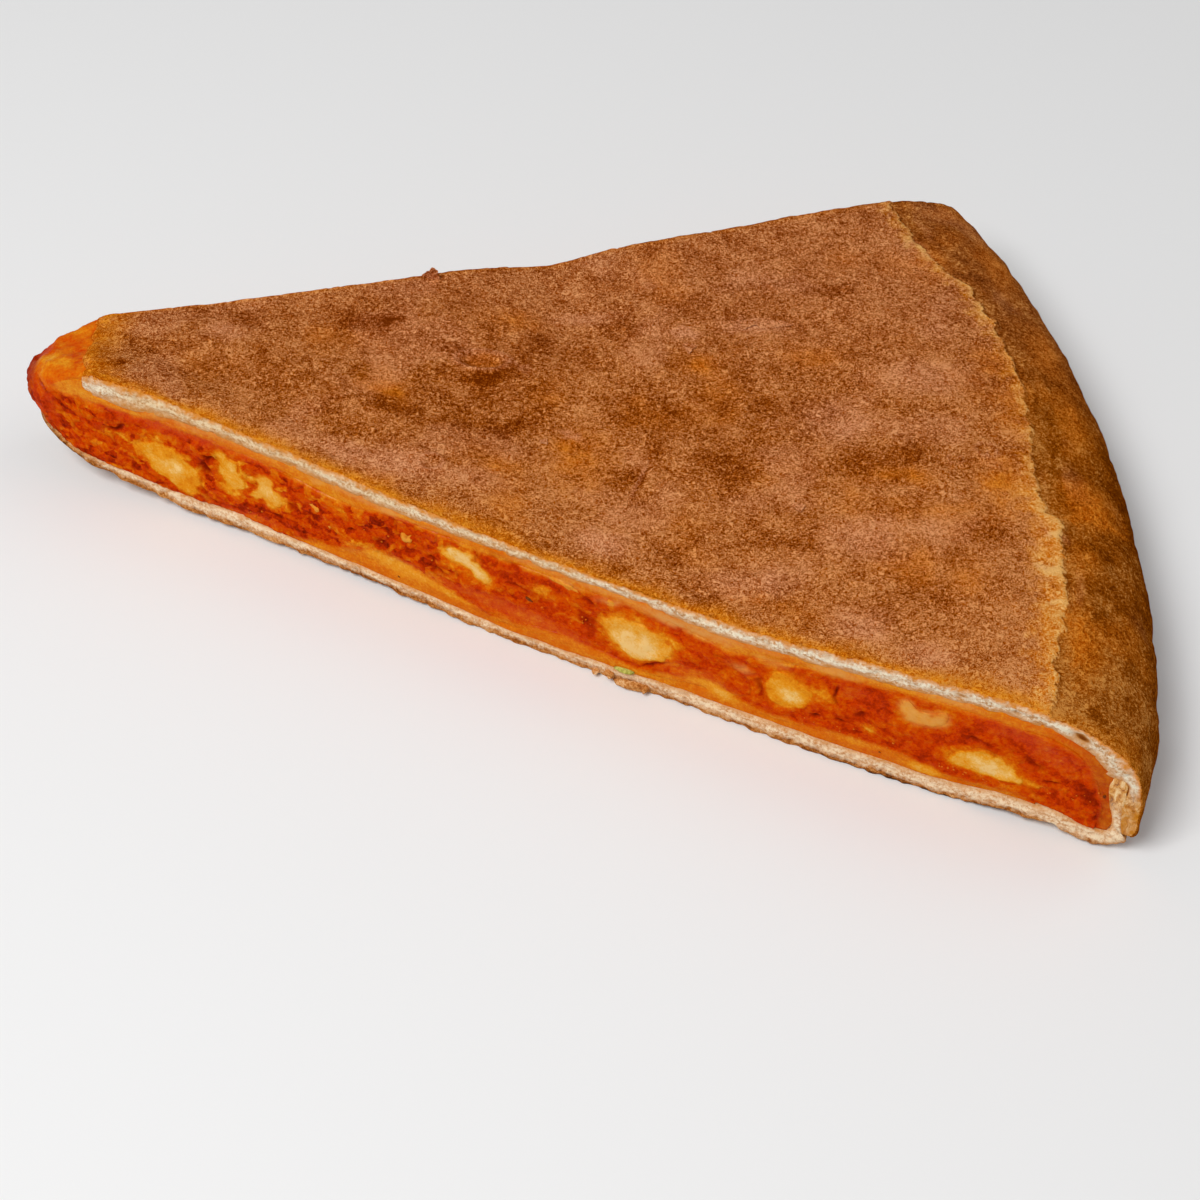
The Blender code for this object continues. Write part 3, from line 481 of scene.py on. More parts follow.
def smooth_run(a, b, c, d, t):
    """Catmull-Rom span from b to c, between the neighbours a and d."""
    return (b + 0.5 * t * (c - a) + t * t * (a - 2.5 * b + 2 * c - 0.5 * d)
            + t * t * t * (1.5 * (b - c) + 0.5 * (d - a)))


def evenly(fine, count, closed=False):
    """Count evenly spaced points on each ray's fine run of points."""
    steps = np.hypot(*np.moveaxis(np.diff(fine, axis=0), -1, 0))
    length = np.concatenate([np.zeros((1, fine.shape[1])), np.cumsum(steps, axis=0)])
    out = np.empty((count, fine.shape[1], 2))
    for ray in range(fine.shape[1]):
        where = np.linspace(0, length[-1, ray], count, endpoint=not closed)
        for axis in (0, 1):
            out[:, ray, axis] = np.interp(where, length[:, ray], fine[:, ray, axis])
    return out


def spread(points, count):
    """Count evenly spaced points on a smooth run through the given ones, ray by ray."""
    ends = np.concatenate([2 * points[:1] - points[1:2], points, 2 * points[-1:] - points[-2:-1]])
    t = np.linspace(0, 1, 10, endpoint=False)[:, None, None]
    spans = [smooth_run(*four, t) for four in zip(ends, ends[1:], ends[2:], ends[3:])]
    return evenly(np.concatenate(spans + [points[-1:]]), count)


def closed_curve(corners, count):
    """Evenly spaced points on a smooth closed run through the corners."""
    b = np.array(corners, float)
    t = np.linspace(0, 1, 12, endpoint=False)[:, None, None]
    spans = smooth_run(np.roll(b, 1, 0), b, np.roll(b, -1, 0), np.roll(b, -2, 0), t)
    fine = spans.transpose(1, 0, 2).reshape(-1, 1, 2)
    return evenly(np.concatenate([fine, fine[:1]]), count, True)[:, 0]


def chain(v, *parts):
    """Points (reach, height) on every ray, stacked; each part is a pair of numbers or of arrays over rays."""
    return np.stack([np.stack(np.broadcast_arrays(r + 0 * v, h + 0 * v), -1) for r, h in parts])


def field(reach, height, v):
    """Points of a height function at stations x rays."""
    reach, v = np.broadcast_arrays(reach, v)
    return np.stack([reach, height(reach, v)], -1)


# Closed rings of points, station by station

def rings(outer, inner, v_outer, v_inner, rows):
    """Rings: outer run from near to far, rows down the far face, inner run back, rows up the near face.

    Returns reach, height, v, and depth from 0 on the outer run to 1 on the inner one.
    """
    t = np.concatenate([[0.012], np.linspace(0, 1, rows)[1:-1], [0.988]])
    far = outer[:, -1:] + (inner[:, -1:] - outer[:, -1:]) * t[None, :, None]
    near = inner[:, :1] + (outer[:, :1] - inner[:, :1]) * t[None, :, None]
    ring = np.concatenate([outer, far, inner[:, ::-1], near], 1)
    v = np.concatenate([v_outer, np.ones(rows), v_inner[::-1], -np.ones(rows)])
    depth = np.concatenate([np.zeros(len(v_outer)), t, np.ones(len(v_inner)), 1 - t])
    return ring[..., 0], ring[..., 1], *(np.broadcast_to(each, ring.shape[:2]) for each in (v, depth))


def from_faces(reach, v):
    """Distances to the near and the far cut face."""
    width = np.hypot(*np.moveaxis(plan(reach, 1.0) - plan(reach, -1.0), -1, 0))
    return width * (1 + v) / 2, width * (1 - v) / 2


def lay(reach, height, v, near_out=0.0, far_out=0.0, fade=2.5):
    """Positions of (reach, height, v), with the cut faces pushed out; the push fades inside the slice."""
    near, far = from_faces(reach, v)
    sideways = far_out * np.exp(-far / fade) - near_out * np.exp(-near / fade)
    return np.concatenate([plan(reach - tuck(reach, height, v), v, sideways), height[..., None]], -1)


def face_points(reach, height, far=False):
    """Places on a cut face as points for the noise functions; the far face has its own pattern."""
    return np.stack([reach, height, np.full(reach.shape, 400.0 if far else 0.0)], -1)


def grid_normals(points):
    """Unit normals of a stations x ring grid from the differences of its neighbours."""
    normal = np.cross(np.gradient(points, axis=0), np.gradient(points, axis=1))
    return normal / np.maximum(np.linalg.norm(normal, axis=-1, keepdims=True), 1e-9)


def make_piece(name, grids, material, node, slot, flip=False, **fields):
    """Smooth closed mesh of stations x ring grids in millimetres, standing for a solid, riding on the body.

    Each grid's two ends are closed by one face each. Fields become point attributes.
    """
    quads, ends, start = [], [], 0
    for points in grids:
        index = np.arange(points[..., 0].size).reshape(points.shape[:2]) + start
        after = np.roll(index, -1, 1)
        quads.append(np.stack([index[:-1], index[1:], after[1:], after[:-1]], -1).reshape(-1, 4))
        ends += [index[0], index[-1][::-1]]
        start += index.size
    quads = np.concatenate(quads)
    if flip:
        quads, ends = quads[:, ::-1], [end[::-1] for end in ends]
    corners = np.concatenate([np.full(len(quads), 4), [len(end) for end in ends]]).astype(np.int32)
    mesh = bpy.data.meshes.new(name)
    mesh.vertices.add(start)
    mesh.vertices.foreach_set("co", (np.concatenate([p.ravel() for p in grids]) * MM).astype(np.float32))
    mesh.loops.add(corners.sum())
    mesh.loops.foreach_set("vertex_index", np.concatenate([quads.ravel(), *ends]).astype(np.int32))
    mesh.polygons.add(len(corners))
    mesh.polygons.foreach_set("loop_start", np.cumsum(corners) - corners)
    mesh.update(calc_edges=True)
    mesh.validate()
    mesh.polygons.foreach_set("use_smooth", np.ones(len(mesh.polygons), bool))
    for key, value in fields.items():
        shape = grids[0].shape[:2] if len(grids) == 1 else start
        layer = mesh.attributes.new(key, "FLOAT", "POINT")
        layer.data.foreach_set("value", np.broadcast_to(value, shape).astype(np.float32).ravel())
    mesh.materials.append(material)
    obj = bpy.data.objects.new(name, mesh)
    bpy.context.scene.collection.objects.link(obj)
    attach(obj, "root")
    if node:
        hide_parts(node)


# Upper crust

def step_reach(v):
    """Reach of the jagged step on top: its drawn line with uneven teeth."""
    teeth = 0.6 * ripple(90 * v, 0 * v, 5.0, 12) + 0.45 * ripple(90 * v, 0 * v, 1.9, 13)
    return np.interp(v, *zip(*STEP_LINE)) + teeth


def crust_edge(v):
    """Where the front edge of the upper crust runs: uneven, and a little ahead of the solid's."""
    uneven = 0.6 * ripple(12 * v, 0 * v, 6.0, 9) + 0.35 * ripple(12 * v, 0 * v, 2.0, 10)
    return crust_start(v) - 1.3 - 1.0 * v + uneven


def front_edge(v, side):
    """Blunt front edge of the top sheet, from its middle to its upper side (1) or its lower one (-1)."""
    start = crust_edge(v)
    turn = np.linspace(0, math.pi / 2, EDGE_ROWS)[:, None]
    top, low = top_height(start + EDGE_DEPTH, v), crust_under(start + EDGE_DEPTH, v)
    middle = (top + low) / 2 + 0.3 * side
    end = top if side > 0 else low
    height = middle + (end - middle) * np.sin(turn) ** BLUNT
    return np.stack([start + EDGE_DEPTH * (1 - np.cos(turn)), height], -1)


def top_outer(v):
    """Upper side of the top sheet: front edge, skin, step, dome over the rim and its wall."""
    start, edge, crown = crust_edge(v) + EDGE_DEPTH, step_reach(v), top_height(BEND, v)
    t = np.linspace(0, 1, SKIN_ROWS)[1:, None]
    skin = field(start + t * (edge - 0.5 - start), top_height, v)
    u = np.array([0.25, 0.55, 0.85])[:, None]
    step = np.stack([edge - 0.5 + u, crown - STEP_HEIGHT * swell(0, 1, u)], -1)
    begin = np.arcsin((edge + 0.7 - BEND) / DOME_DEPTH)
    t = np.linspace(0, 1, DOME_ROWS)[:, None]
    a = begin + t * (math.pi / 2 - begin)
    dome = np.stack([BEND + DOME_DEPTH * np.sin(a),
                     DOME_BASE + (crown - DOME_BASE) * np.cos(a) - STEP_HEIGHT * (1 - t)], -1)
    wall = spread(chain(v, (REACH, DOME_BASE), (REACH - 0.3, 8.8), (REACH - 0.8, STRIP_END + 0.9 + heel(v)),
                        (REACH - 1.6, STRIP_END + 0.2 + heel(v))), WALL_ROWS + 1)[1:]
    return np.concatenate([front_edge(v, 1), skin, step, dome, wall])


def top_inner(v):
    """Lower side of the top sheet, station for station with top_outer."""
    start = crust_edge(v) + EDGE_DEPTH
    t = np.linspace(0, 1, SKIN_ROWS)[1:, None]
    flat = field(start + t * (BEND - 1 - start), crust_under, v)
    under = crust_under(BEND, v)
    last = np.arccos((EDGE_TOP + 0.9 - DOME_INNER_BASE) / (under - DOME_INNER_BASE))
    a = np.linspace(0, 1, 5)[:, None] * last
    inner = np.stack([BEND + DOME_INNER_DEPTH * np.sin(a),
                      DOME_INNER_BASE + (under - DOME_INNER_BASE) * np.cos(a)], -1)
    shelf = chain(v, (SLIT - 2.0, EDGE_TOP - 0.2), (SLIT - 0.5, EDGE_TOP - 1.9), (SLIT - 0.2, 12.0),
                  (SLIT - 0.2, 8.0), (SLIT + 0.1, STRIP_END + 0.1 + heel(v)))
    return np.concatenate([front_edge(v, -1), flat,
                           spread(np.concatenate([inner, shelf]), 3 + DOME_ROWS + WALL_ROWS)])


def from_dent(x, y):
    """Distance to the middle of the dent, 1 at its edge."""
    return np.hypot((x - DENT[0]) / DENT[2], (y - DENT[1]) / DENT[3])


def from_crease(x, y):
    """Sideways distance to the short curved crease in the skin, and 1 along it, fading past its ends."""
    return CREASE[0] + 1.2 * np.sin((y - CREASE[1]) / 4) - x, np.exp(-((y - CREASE[1]) / 4.2) ** 4)


def blistered(x, y, radius, width):
    """Soft ring round every blister, its radius and width in shares of the blister's."""
    return sum(band(np.hypot(x - bx, y - by) / size, radius, width) for bx, by, size in BLISTERS)


def skin_relief(xy):
    """Height of the baked skin: broad waves, low lumps, the dent, blisters and the crease."""
    p = np.concatenate([xy, np.zeros(xy.shape[:-1] + (1,))], -1)
    x, y = xy[..., 0], xy[..., 1]
    d = from_dent(x, y)
    crease, along = from_crease(x, y)
    return (0.18 * rough(p, 9.0, 5) + 0.13 * rough(p, 2.6, 9)
            + 0.45 * band(d, 1.15, 0.28) - 0.9 * np.exp(-d ** 4)
            + 0.34 * blistered(x, y, 1, 0.25) - 0.35 * band(crease, 0, 0.4) * along)


def skin_marks(xy, height, rim):
    """Noise points, tone, and shares of pale and warm dough: noise, drawn marks with two painted shadows,
    rings, and the crease with painted shadow on one side.
    """
    q = np.concatenate([xy, (rim * height)[..., None]], -1)
    x, y = xy[..., 0], xy[..., 1]
    bent = [xy[..., n] + 1.0 * grain(q, 4.0, 171 + n) + 0.8 * grain(q, 1.5, 173 + n) for n in (0, 1)]
    tone = (0.5 * rough(q, 22.0, 71) + 0.65 * rough(q, 5.0, 75)
            + (1 - rim) * (0.65 * swell(-2, -30, y) + 0.3 * swell(-40, -75, x) + 0.25 * swell(50, 90, x))
            + rim * (0.8 * swell(-46, -68, y) + 0.35 * swell(-10, 10, y)))
    crease, along = from_crease(x, y)
    # Darker: browned spots with two painted shadows among them, rings in the blisters, and painted shadow
    # along one side of the crease
    dark = (patches(*bent, SCORCHED_AND_SHADOWS) + 0.5 * blistered(x, y, 0.74, 0.14)
            + 1.6 * band(crease, -0.25, 0.3) * along)
    pale = (patches(*bent, FLOURED) + 0.5 * swell(0.25, 0.8, rough(q, 14.0, 77)) + 0.4 * swell(0, 45, y)
            + 0.9 * band(from_dent(x, y), 1.2, 0.2) + 0.8 * blistered(x, y, 1.0, 0.14)
            + 1.2 * band(crease, 0.4, 0.35) * along)
    warm = patches(*bent, TOASTED) + 0.5 * swell(0.25, 0.8, rough(q, 13.0, 79))
    return q, tone - 1.6 * dark, np.clip(pale, 0, 1.2), np.clip(warm, 0, 1.2)


def cut_crumb(reach, height, v, depth, seed):
    """Relief of torn bread on the near and the far face, and its pores: roughness less scattered pits."""
    faces = []
    for far in (0, 1):
        p = face_points(reach, height, far)
        first, _, own = pebbles(p * (0.7, 1, 1), 1.2, seed + far)
        pore = np.clip(1 - first / 0.45, 0, 1) * (own > 0.6)
        faces.append((0.24 * rough(p * (0.5, 1, 1), 1.5, seed + far + 5) - 0.45 * pore, pore))
    (near, near_pore), (far, far_pore) = faces
    return near, far, np.where(v < 0, near_pore, far_pore) * (depth > 0) * (depth < 1)


def torn_holes(reach, height, v, depth):
    """Pores of drawn holes in the near face, and of the torn seam between the sheets in the rim's ends, which
    the material paints dark as shade.
    """
    face, p = (depth > 0) & (depth < 1), face_points(reach, height)
    seam = (swell(223, 226, reach) * swell(10.5, 13, height) * swell(21, 18.5, height)
            * swell(-0.9, 0.2, grain(p, 1.6, 27)))
    torn = 1.7 * swell(0.72, 0.92, depth + 0.12 * grain(p, 1.2, 25)) * seam
    return np.maximum(patches(reach, height, HOLES) * (v < 0), torn) * face


def oiled(reach, v, q):
    """Share of oil: along the near cut, a little along the far one, and where the crust begins at the tip."""
    near, far = (np.clip(distance, 0, 99) for distance in from_faces(reach, v))
    oil = band(near, 0, 2.6 + 1.4 * grain(q, 6.0, 81)) + 0.4 * band(far, 0, 1.2)
    tipwards = np.clip(1.25 - (reach - crust_edge(v)) / (9 + 2.5 * v + 4 * grain(q, 7.0, 83)), 0, 1)
    return np.clip(oil + 0.9 * tipwards, 0, 1)


def make_top_crust(material, sizes):
    """Top sheet of dough with its skin, dome and cut faces."""
    v_outer, v_inner = np.linspace(-1, 1, TOP_RAYS), np.linspace(-1, 1, 14)
    reach, height, v, depth = rings(top_outer(v_outer), top_inner(v_inner), v_outer, v_inner, 12)
    outside = np.s_[:, :TOP_RAYS]
    flat = lay(reach, height, v)
    xy, upper = flat[..., :2], flat[outside]
    row = np.arange(len(reach))[:, None]
    rim = swell(SKIN_ROWS + 8, SKIN_ROWS + 22, row)
    relief = skin_relief(xy[outside]) * sizes.skin_relief * (1 - 0.3 * rim)
    lumps = 0.35 * rough(upper, 7.0, 61, 2) + 0.16 * rough(upper, 2.0, 63, 2)
    relief = (relief + rim * lumps) * swell(0, 8, row)
    near_out, far_out, pore = cut_crumb(reach, height, v, depth, 21)
    near_out = near_out - 0.5 * np.clip(patches(reach, height, HOLES[:1]), 0, 1)
    bulge = 0.25 * np.sin(np.pi * depth) - 0.12
    calm = 1 - 0.8 * swell(20, 16, height) * swell(222, 226, reach)
    points = lay(reach, height, v, calm * (near_out + bulge), calm * (far_out + bulge), CRUST_FADE)
    points[outside] += grid_normals(upper) * relief[..., None]
    step = np.clip(step_reach(v) - reach, -8, 14)
    fringe = step + 3.6 * swell(-24, -8, xy[..., 1]) + 1.5 * swell(-50, -60, xy[..., 1])
    q, tone, pale, warm = skin_marks(xy, height, rim)
    make_piece("top_crust_baked", [points], material, "top_crust", "upper_crust",
               tone=tone, pale=pale, warm=warm, oil=oiled(reach, v, q), step=step, fringe=fringe, rim=rim,
               crumb=swell(0.0, 0.16, depth), depth=depth,
               pore=np.maximum(pore, torn_holes(reach, height, v, depth)),
               clean=np.maximum(swell(50, 180, reach + 40 * grain(q, 9.0, 87)), swell(24, 12, reach)),
               wall=swell(19, 14, height) * swell(222, 226, reach),
               # outside: 1 on the skin and rising up the rim; low values darken the rim's outer wall, partly
               # its bake and partly painted shade
               outside=np.clip((height - 8) / 24, 0, 1) * rim + (1 - rim))


# Lower crust

def low_side(v, first, bed, bowl):
    """One side of the lower sheet: its lip at the tip, its bed, and its bowl in the rim."""
    reach = np.linspace(BED_START, BED_END, BED_ROWS)[1:, None]
    lip, back = spread(chain(v, *first), 10), spread(chain(v, *bowl), 110)[1:]
    return np.concatenate([lip, field(reach, bed, v), back])


def low_outer(v):
    """Underside of the lower sheet: lip, bed, heel, and the back of the turned-up edge."""
    rise, slit = heel(v), SLIT + 0.02
    lip = ((TIP_LIP, underside(TIP_LIP, v) + 1.1), (TIP_LIP - 0.1, underside(TIP_LIP, v) + 0.5),
           (TIP_LIP + 0.3, underside(TIP_LIP + 0.3, v)), (BED_START, underside(BED_START, v)))
    keel = ((BED_END, 1.7), (212.0, 1.9), (214.5, 2.4), (217.0, 1.3), (220.0, rise), (224.0, rise),
            (227.0, 1.1 + rise), (229.2, 2.7 + rise), (229.3, 4.3 + rise), (slit + 0.1, 4.9 + rise),
            (slit - 0.1, 12.0), (slit - 0.4, EDGE_TOP - 2.2), (slit - 1.4, EDGE_TOP - 0.1),
            (slit - 2.4, EDGE_TOP + 0.4))
    return low_side(v, lip, underside, keel)


def low_inner(v):
    """Upper side of the lower sheet, station for station with low_outer."""
    lip = ((TIP_LIP, floor_top(TIP_LIP, v) - 0.1), (TIP_LIP + 0.4, floor_top(TIP_LIP + 0.4, v)),
           (BED_START, floor_top(BED_START, v)))
    bowl = ((BED_END, 6.1), (212.0, 6.1), (214.5, 6.0), (217.0, 5.6), (219.5, 5.15), (221.5, 4.8),
            (223.0, 4.7), (224.4, 4.8), (225.5, 5.3), (226.4, 6.4), (226.5, 10.0), (225.0, 15.5),
            (224.2, EDGE_TOP - 0.1), (224.8, EDGE_TOP + 0.4))
    return low_side(v, lip, floor_top, bowl)


def make_bottom_crust(material):
    """Lower sheet of dough: browned underside, cream cut faces, lip, heel and turned-up edge."""
    v_outer, v_inner = np.linspace(-1, 1, 124), np.linspace(-1, 1, 12)
    reach, height, v, depth = rings(low_outer(v_outer), low_inner(v_inner), v_outer, v_inner, 14)
    near_out, far_out, pore = cut_crumb(reach, height, v, depth, 31)
    line = face_points(reach, 0 * height)
    ragged = 0.2 * rough(line, 3.4, 35) + 0.16 * rough(line, 1.1, 37, 2)
    bulge = 0.3 * np.sin(np.pi * depth) - 0.3 + (0.2 + ragged) * np.clip(1 - depth * 2.4, 0, 1)
    calm = 1 - 0.8 * swell(8, 12, height) * swell(222, 226, reach)
    pushes = [(out * 0.8 + bulge) * calm for out in (near_out, far_out)]
    points = lay(reach, height, v, *pushes, CRUST_FADE)
    q, under = points.copy(), np.clip(1 - depth * 4, 0, 1)
    lumps = 0.16 * rough(q, 4.0, 41) + 0.10 * rough(q, 1.2, 45, 2)
    droop = 0.3 * np.clip(ragged, -0.2, 1) * band(np.minimum(*from_faces(reach, v)), 0, 2.0)
    points[..., 2] += np.where(height < 6, (lumps + 0.14 - droop) * under, 0)
    points[..., 2] = np.maximum(points[..., 2], 0.02)
    make_piece("bottom_crust_baked", [points], material, "bottom_crust", "lower_crust", flip=True,
               depth=depth + 0.6 * swell(11, 6, reach), pore=pore,
               rise=np.clip(height - underside(reach, v), 0, 9) + 1.4 * swell(211, 215, reach),
               # Dark along the very bottom of the cut face: painted shade under the lip at the tip, and
               # simply darker round reach 187
               tone=rough(q, 9.0, 47), burnt=np.exp(-((reach - 187) / 19) ** 4) + 0.8 * band(reach, 5, 7),
               back=swell(214, 226, reach), wall=swell(9, 15, height) * swell(220, 225, reach))


# Cut faces: what each place shows

def depth_inside(reach, height, outline):
    """Distance to an outline's nearest side, positive inside, where an odd number of sides is crossed."""
    nearest = np.full(reach.shape, 99.0)
    inside = np.zeros(reach.shape, bool)
    for (x0, y0), (x1, y1) in zip(outline, np.roll(outline, -1, 0)):
        dx, dy = x1 - x0, y1 - y0
        t = np.clip(((reach - x0) * dx + (height - y0) * dy) / (dx * dx + dy * dy), 0, 1)
        nearest = np.minimum(nearest, np.hypot(reach - x0 - t * dx, height - y0 - t * dy))
        spanned = (y0 > height) != (y1 > height)
        inside ^= spanned & (reach < x0 + dx * (height - y0) / (dy if abs(dy) > 1e-9 else 1e-9))
    return np.where(inside, nearest, -nearest)


def far_chicken():
    """Evenly spread, uneven pieces of chicken on the far face, as in the solids."""
    rng = np.random.default_rng(SEED)
    for i in range(CHICKEN_FAR_COUNT):
        reach = 34 + i * 27 + rng.uniform(-5, 5)
        wide, tall = rng.uniform(3.4, 6.8), rng.uniform(2.8, 4.4)
        room = tall * 1.25 + 1.2
        low, high = cheese_top(np.array(reach), 1.0) + room, cheese_under(np.array(reach), 1.0) - room
        height = float(low + (high - low) * rng.uniform(0.2, 0.8))
        yield reach, height, wide, tall, rng.uniform(-18, 18), rng.uniform(1.6, 2.6)


def chicken_pieces(far):
    """Outline, core, paleness, gold and milkiness of a cut face's pieces; far ones are power curves."""
    if not far:
        return [(closed_curve(corners, 44), *rest) for corners, *rest in CHICKEN_NEAR]
    angle = np.linspace(0, math.tau, 44, endpoint=False)
    pieces = []
    for number, (reach, height, wide, tall, tilt, power) in enumerate(far_chicken()):
        radius = (np.abs(np.cos(angle)) ** power + np.abs(np.sin(angle)) ** power) ** (-1 / power)
        radius *= (1.12 + 0.2 * np.sin(2 * angle + 1.7 * number) + 0.16 * np.cos(angle - 2.1 * number)
                   + 0.12 * np.sin(3 * angle + number) + 0.08 * np.sin(5 * angle + 2 * number))
        x, y = turned(radius * np.cos(angle) * wide, radius * np.sin(angle) * tall, tilt)
        shift = (number * 0.37) % 1 - 0.5
        core = (reach + shift * wide, height - shift * tall * 0.6, wide * 0.8, tall * 0.7, tilt - 50 * shift)
        pieces.append((np.stack([reach + x, height + y], -1), core, (0.94, 0.8, 0.88)[number % 3],
                       0.64 + 0.14 * abs(shift), (0.0, 0.0, 0.35)[number % 3]))
    return pieces


def above_cheese(reach, height, v):
    """Millimetres above the lower side of the upper cheese, outwards of its arch in the rim."""
    crown = cheese_under(BEND, v) - DOME_INNER_BASE
    over = np.hypot(np.clip(reach - BEND, 0, 99) / CHEESE_INNER_DEPTH,
                    np.clip(height - DOME_INNER_BASE, 0, 99) / crown)
    return np.where(reach > BEND, (over - 1) * crown, height - cheese_under(reach, v))


def wavy(p, stretch, size, seed, octaves=3):
    """Roughness drawn out along the slice by one part in stretch."""
    return rough(p * (stretch, 1, 1), size, seed, octaves)


def chopped_filling(p, seed, deep, gold, glazed):
    """Relief, tint and painted crevice shade of chopped filling: rounded cells of two sizes, with seams and
    splits.
    """
    bent = p + 0.55 * np.stack([grain(p, 2.1, seed + 20), grain(p, 2.1, seed + 21), np.zeros(deep.shape)], -1)
    first, second, own = pebbles(bent * (0.8, 1, 1), 1.7, seed)
    small, _, mine = pebbles(bent, 0.8, seed + 5)
    seam = np.clip(1 - (second - first) / 0.16, 0, 1) * swell(0.0, 0.5, grain(p, 4.0, seed + 32))
    split = (np.clip(1 - np.abs(grain(bent * (0.6, 1, 1), 2.6, seed + 30)) / 0.09, 0, 1)
             * swell(0.0, 0.5, grain(p * (0.7, 1, 1), 5.0, seed + 31)))
    reach = p[..., 0]
    chopped = (1 - 0.8 * glazed) * (1 - 0.3 * swell(85, 125, reach))
    relief = (chopped * (0.12 * (own - 0.5) + 0.34 * (1 - first ** 2) + 0.3 * (1 - small ** 2) - 0.3 * split)
              + 0.25 * wavy(p, 1, 5.0, seed + 11, 2) - 0.7 * deep - 0.35)
    contrast = (0.24 + 0.14 * swell(105, 80, reach)) * (own - 0.5) + 0.2 * (mine - 0.5)
    # Deep hollows are painted redder and darker here, as shade
    tint = (0.345 + chopped * contrast + 0.08 * wavy(p, 0.5, 5.0, seed + 15)
            + 0.05 * wavy(p, 1, 1.2, seed + 17, 2) + gold - 0.22 * deep)
    # The last share is painted shade in the seams, splits and deep hollows, which the relief also sinks
    return relief, tint, np.clip((0.45 * split + 0.38 * seam) * chopped + deep, 0, 1)


def cheese_shares(p, v, seed):
    """Shares of the upper and of the lower cheese in a cut face."""
    reach, height = p[..., 0], p[..., 1]
    upper = swell(-0.9, 0.7, above_cheese(reach, height, v) + 0.4 * wavy(p, 1, 2.4, seed + 40, 2))
    lower = (swell(-0.8, 0.8, cheese_top(reach, v) - height + 0.3 * wavy(p, 1, 2.0, seed + 42, 2))
             * swell(52, 60, reach) * swell(212, 206, reach))
    return upper, lower


def cut_face(reach, height, far=False):
    """What a cut face shows at each place.

    Returns the filling's relief, the tint from red (0) through amber (0.6) to cream (1), and the shares of
    milky cheese, of painted shade in crevices and of gloss. The marks are soft ovals on bent places; cheese
    blends in over its layers, and each piece of chicken inside its outline.
    """
    p = face_points(reach, height, far)
    v, seed = (1.0, 211) if far else (-1.0, 201)
    x = reach + 1.0 * grain(p, 3.6, seed + 22) + 0.5 * grain(p, 1.2, seed + 23)
    y = height + 0.5 * grain(p, 3.6, seed + 24) + 0.35 * grain(p, 1.2, seed + 25)
    places = (222 - x, y * 1.12) if far else (x, y)
    deep, gold, milky, glazed = (patches(*places, marks) for marks in (DEEP, GOLDEN, MILKY, GLAZED))
    glazed, milky = np.clip(glazed, 0, 1), np.clip(milky, 0, 1)
    relief, tint, crevice = chopped_filling(p, seed, deep, gold, glazed)
    # Cheese
    upper, lower = cheese_shares(p, v, seed)
    thread = wavy(p, 0.25, 2.6, seed + 41)
    tint += (0.62 + 0.07 * thread + 0.4 * gold - 0.09 * swell(204, 220, reach) - tint) * upper
    tint += (0.60 + 0.08 * thread + 0.7 * gold - tint) * lower
    # The upper cheese inside the rim is darkened with the same painted shade
    crevice = np.maximum(crevice, 0.4 * upper * swell(212, 222, reach))
    hug = swell(1.6, 0.3, crust_under(reach, v) - height) * swell(212, 200, reach) * swell(14, 24, reach)
    milky = np.maximum(milky, 0.6 * hug * swell(-0.7, 0.5, wavy(p, 0.3, 3.0, seed + 44, 2)))
    soft = (1 - 0.8 * upper) * (1 - 0.7 * lower)
    relief = -0.15 + (relief + 0.15) * soft
    crevice = crevice * (soft + (1 - soft) * swell(208, 218, reach))
    # Chicken
    for outline, core, pale, golden, milk in chicken_pieces(far):
        d = depth_inside(reach, height, outline) + 0.5 * wavy(p, 1, 1.5, seed + 50)
        inside = swell(-0.5 - 0.6 * milk, 0.6 + 0.7 * milk, d)
        heart = np.clip(1.15 * patches(x, y, ((*core, 1.0),)) * swell(0.0, 1.4, d), 0, 1)
        flesh = golden + 0.03 + (pale - golden - 0.05) * heart + 0.07 * rough(p * (1, 0.6, 1), 1.6, seed + 52)
        tint += 0.16 * band(np.clip(-d, 0, 9), 0, 1.6) * (1 - inside)
        tint += (flesh - tint) * inside
        milky = milky + (milk - milky) * inside
        crevice = crevice * (1 - 0.95 * inside)
        relief += (-0.9 - relief) * swell(0.5, 1.1, d)
        relief += (-0.05 - relief) * band(d, 0, 0.7)
    return relief, tint, milky, crevice, np.clip(glazed + 0.7 * upper + 0.5 * lower, 0, 1)


def both_faces(reach, height, v):
    """Each cut face's relief, and what the near face shows where v is below 0 and the far face above it."""
    near, far = cut_face(reach, height), cut_face(reach, height, True)
    shown = (np.where(v > 0, b, a) for a, b in zip(near[1:], far[1:]))
    return near[0], far[0], dict(zip(("tint", "milky", "crevice", "gloss"), shown))


# Cheese and filling

def arch(v, depth, height, lift, last=90):
    """Quarter ellipse over the rim, from its crown to an angle in degrees."""
    a = np.radians(np.linspace(0, last, 10))[:, None]
    crown = height(BEND, v) + lift
    rise = DOME_INNER_BASE + (crown - DOME_INNER_BASE) * np.cos(a)
    return np.stack([BEND + depth * np.sin(a) + 0 * v, rise], -1)


def to_bend(v, ahead, rows):
    """Reach of evenly spaced rows from behind the upper crust's start to the bend of the rim."""
    start = crust_start(v) + ahead
    return start + np.linspace(0, 1, rows)[:-1, None] * (BEND - start)


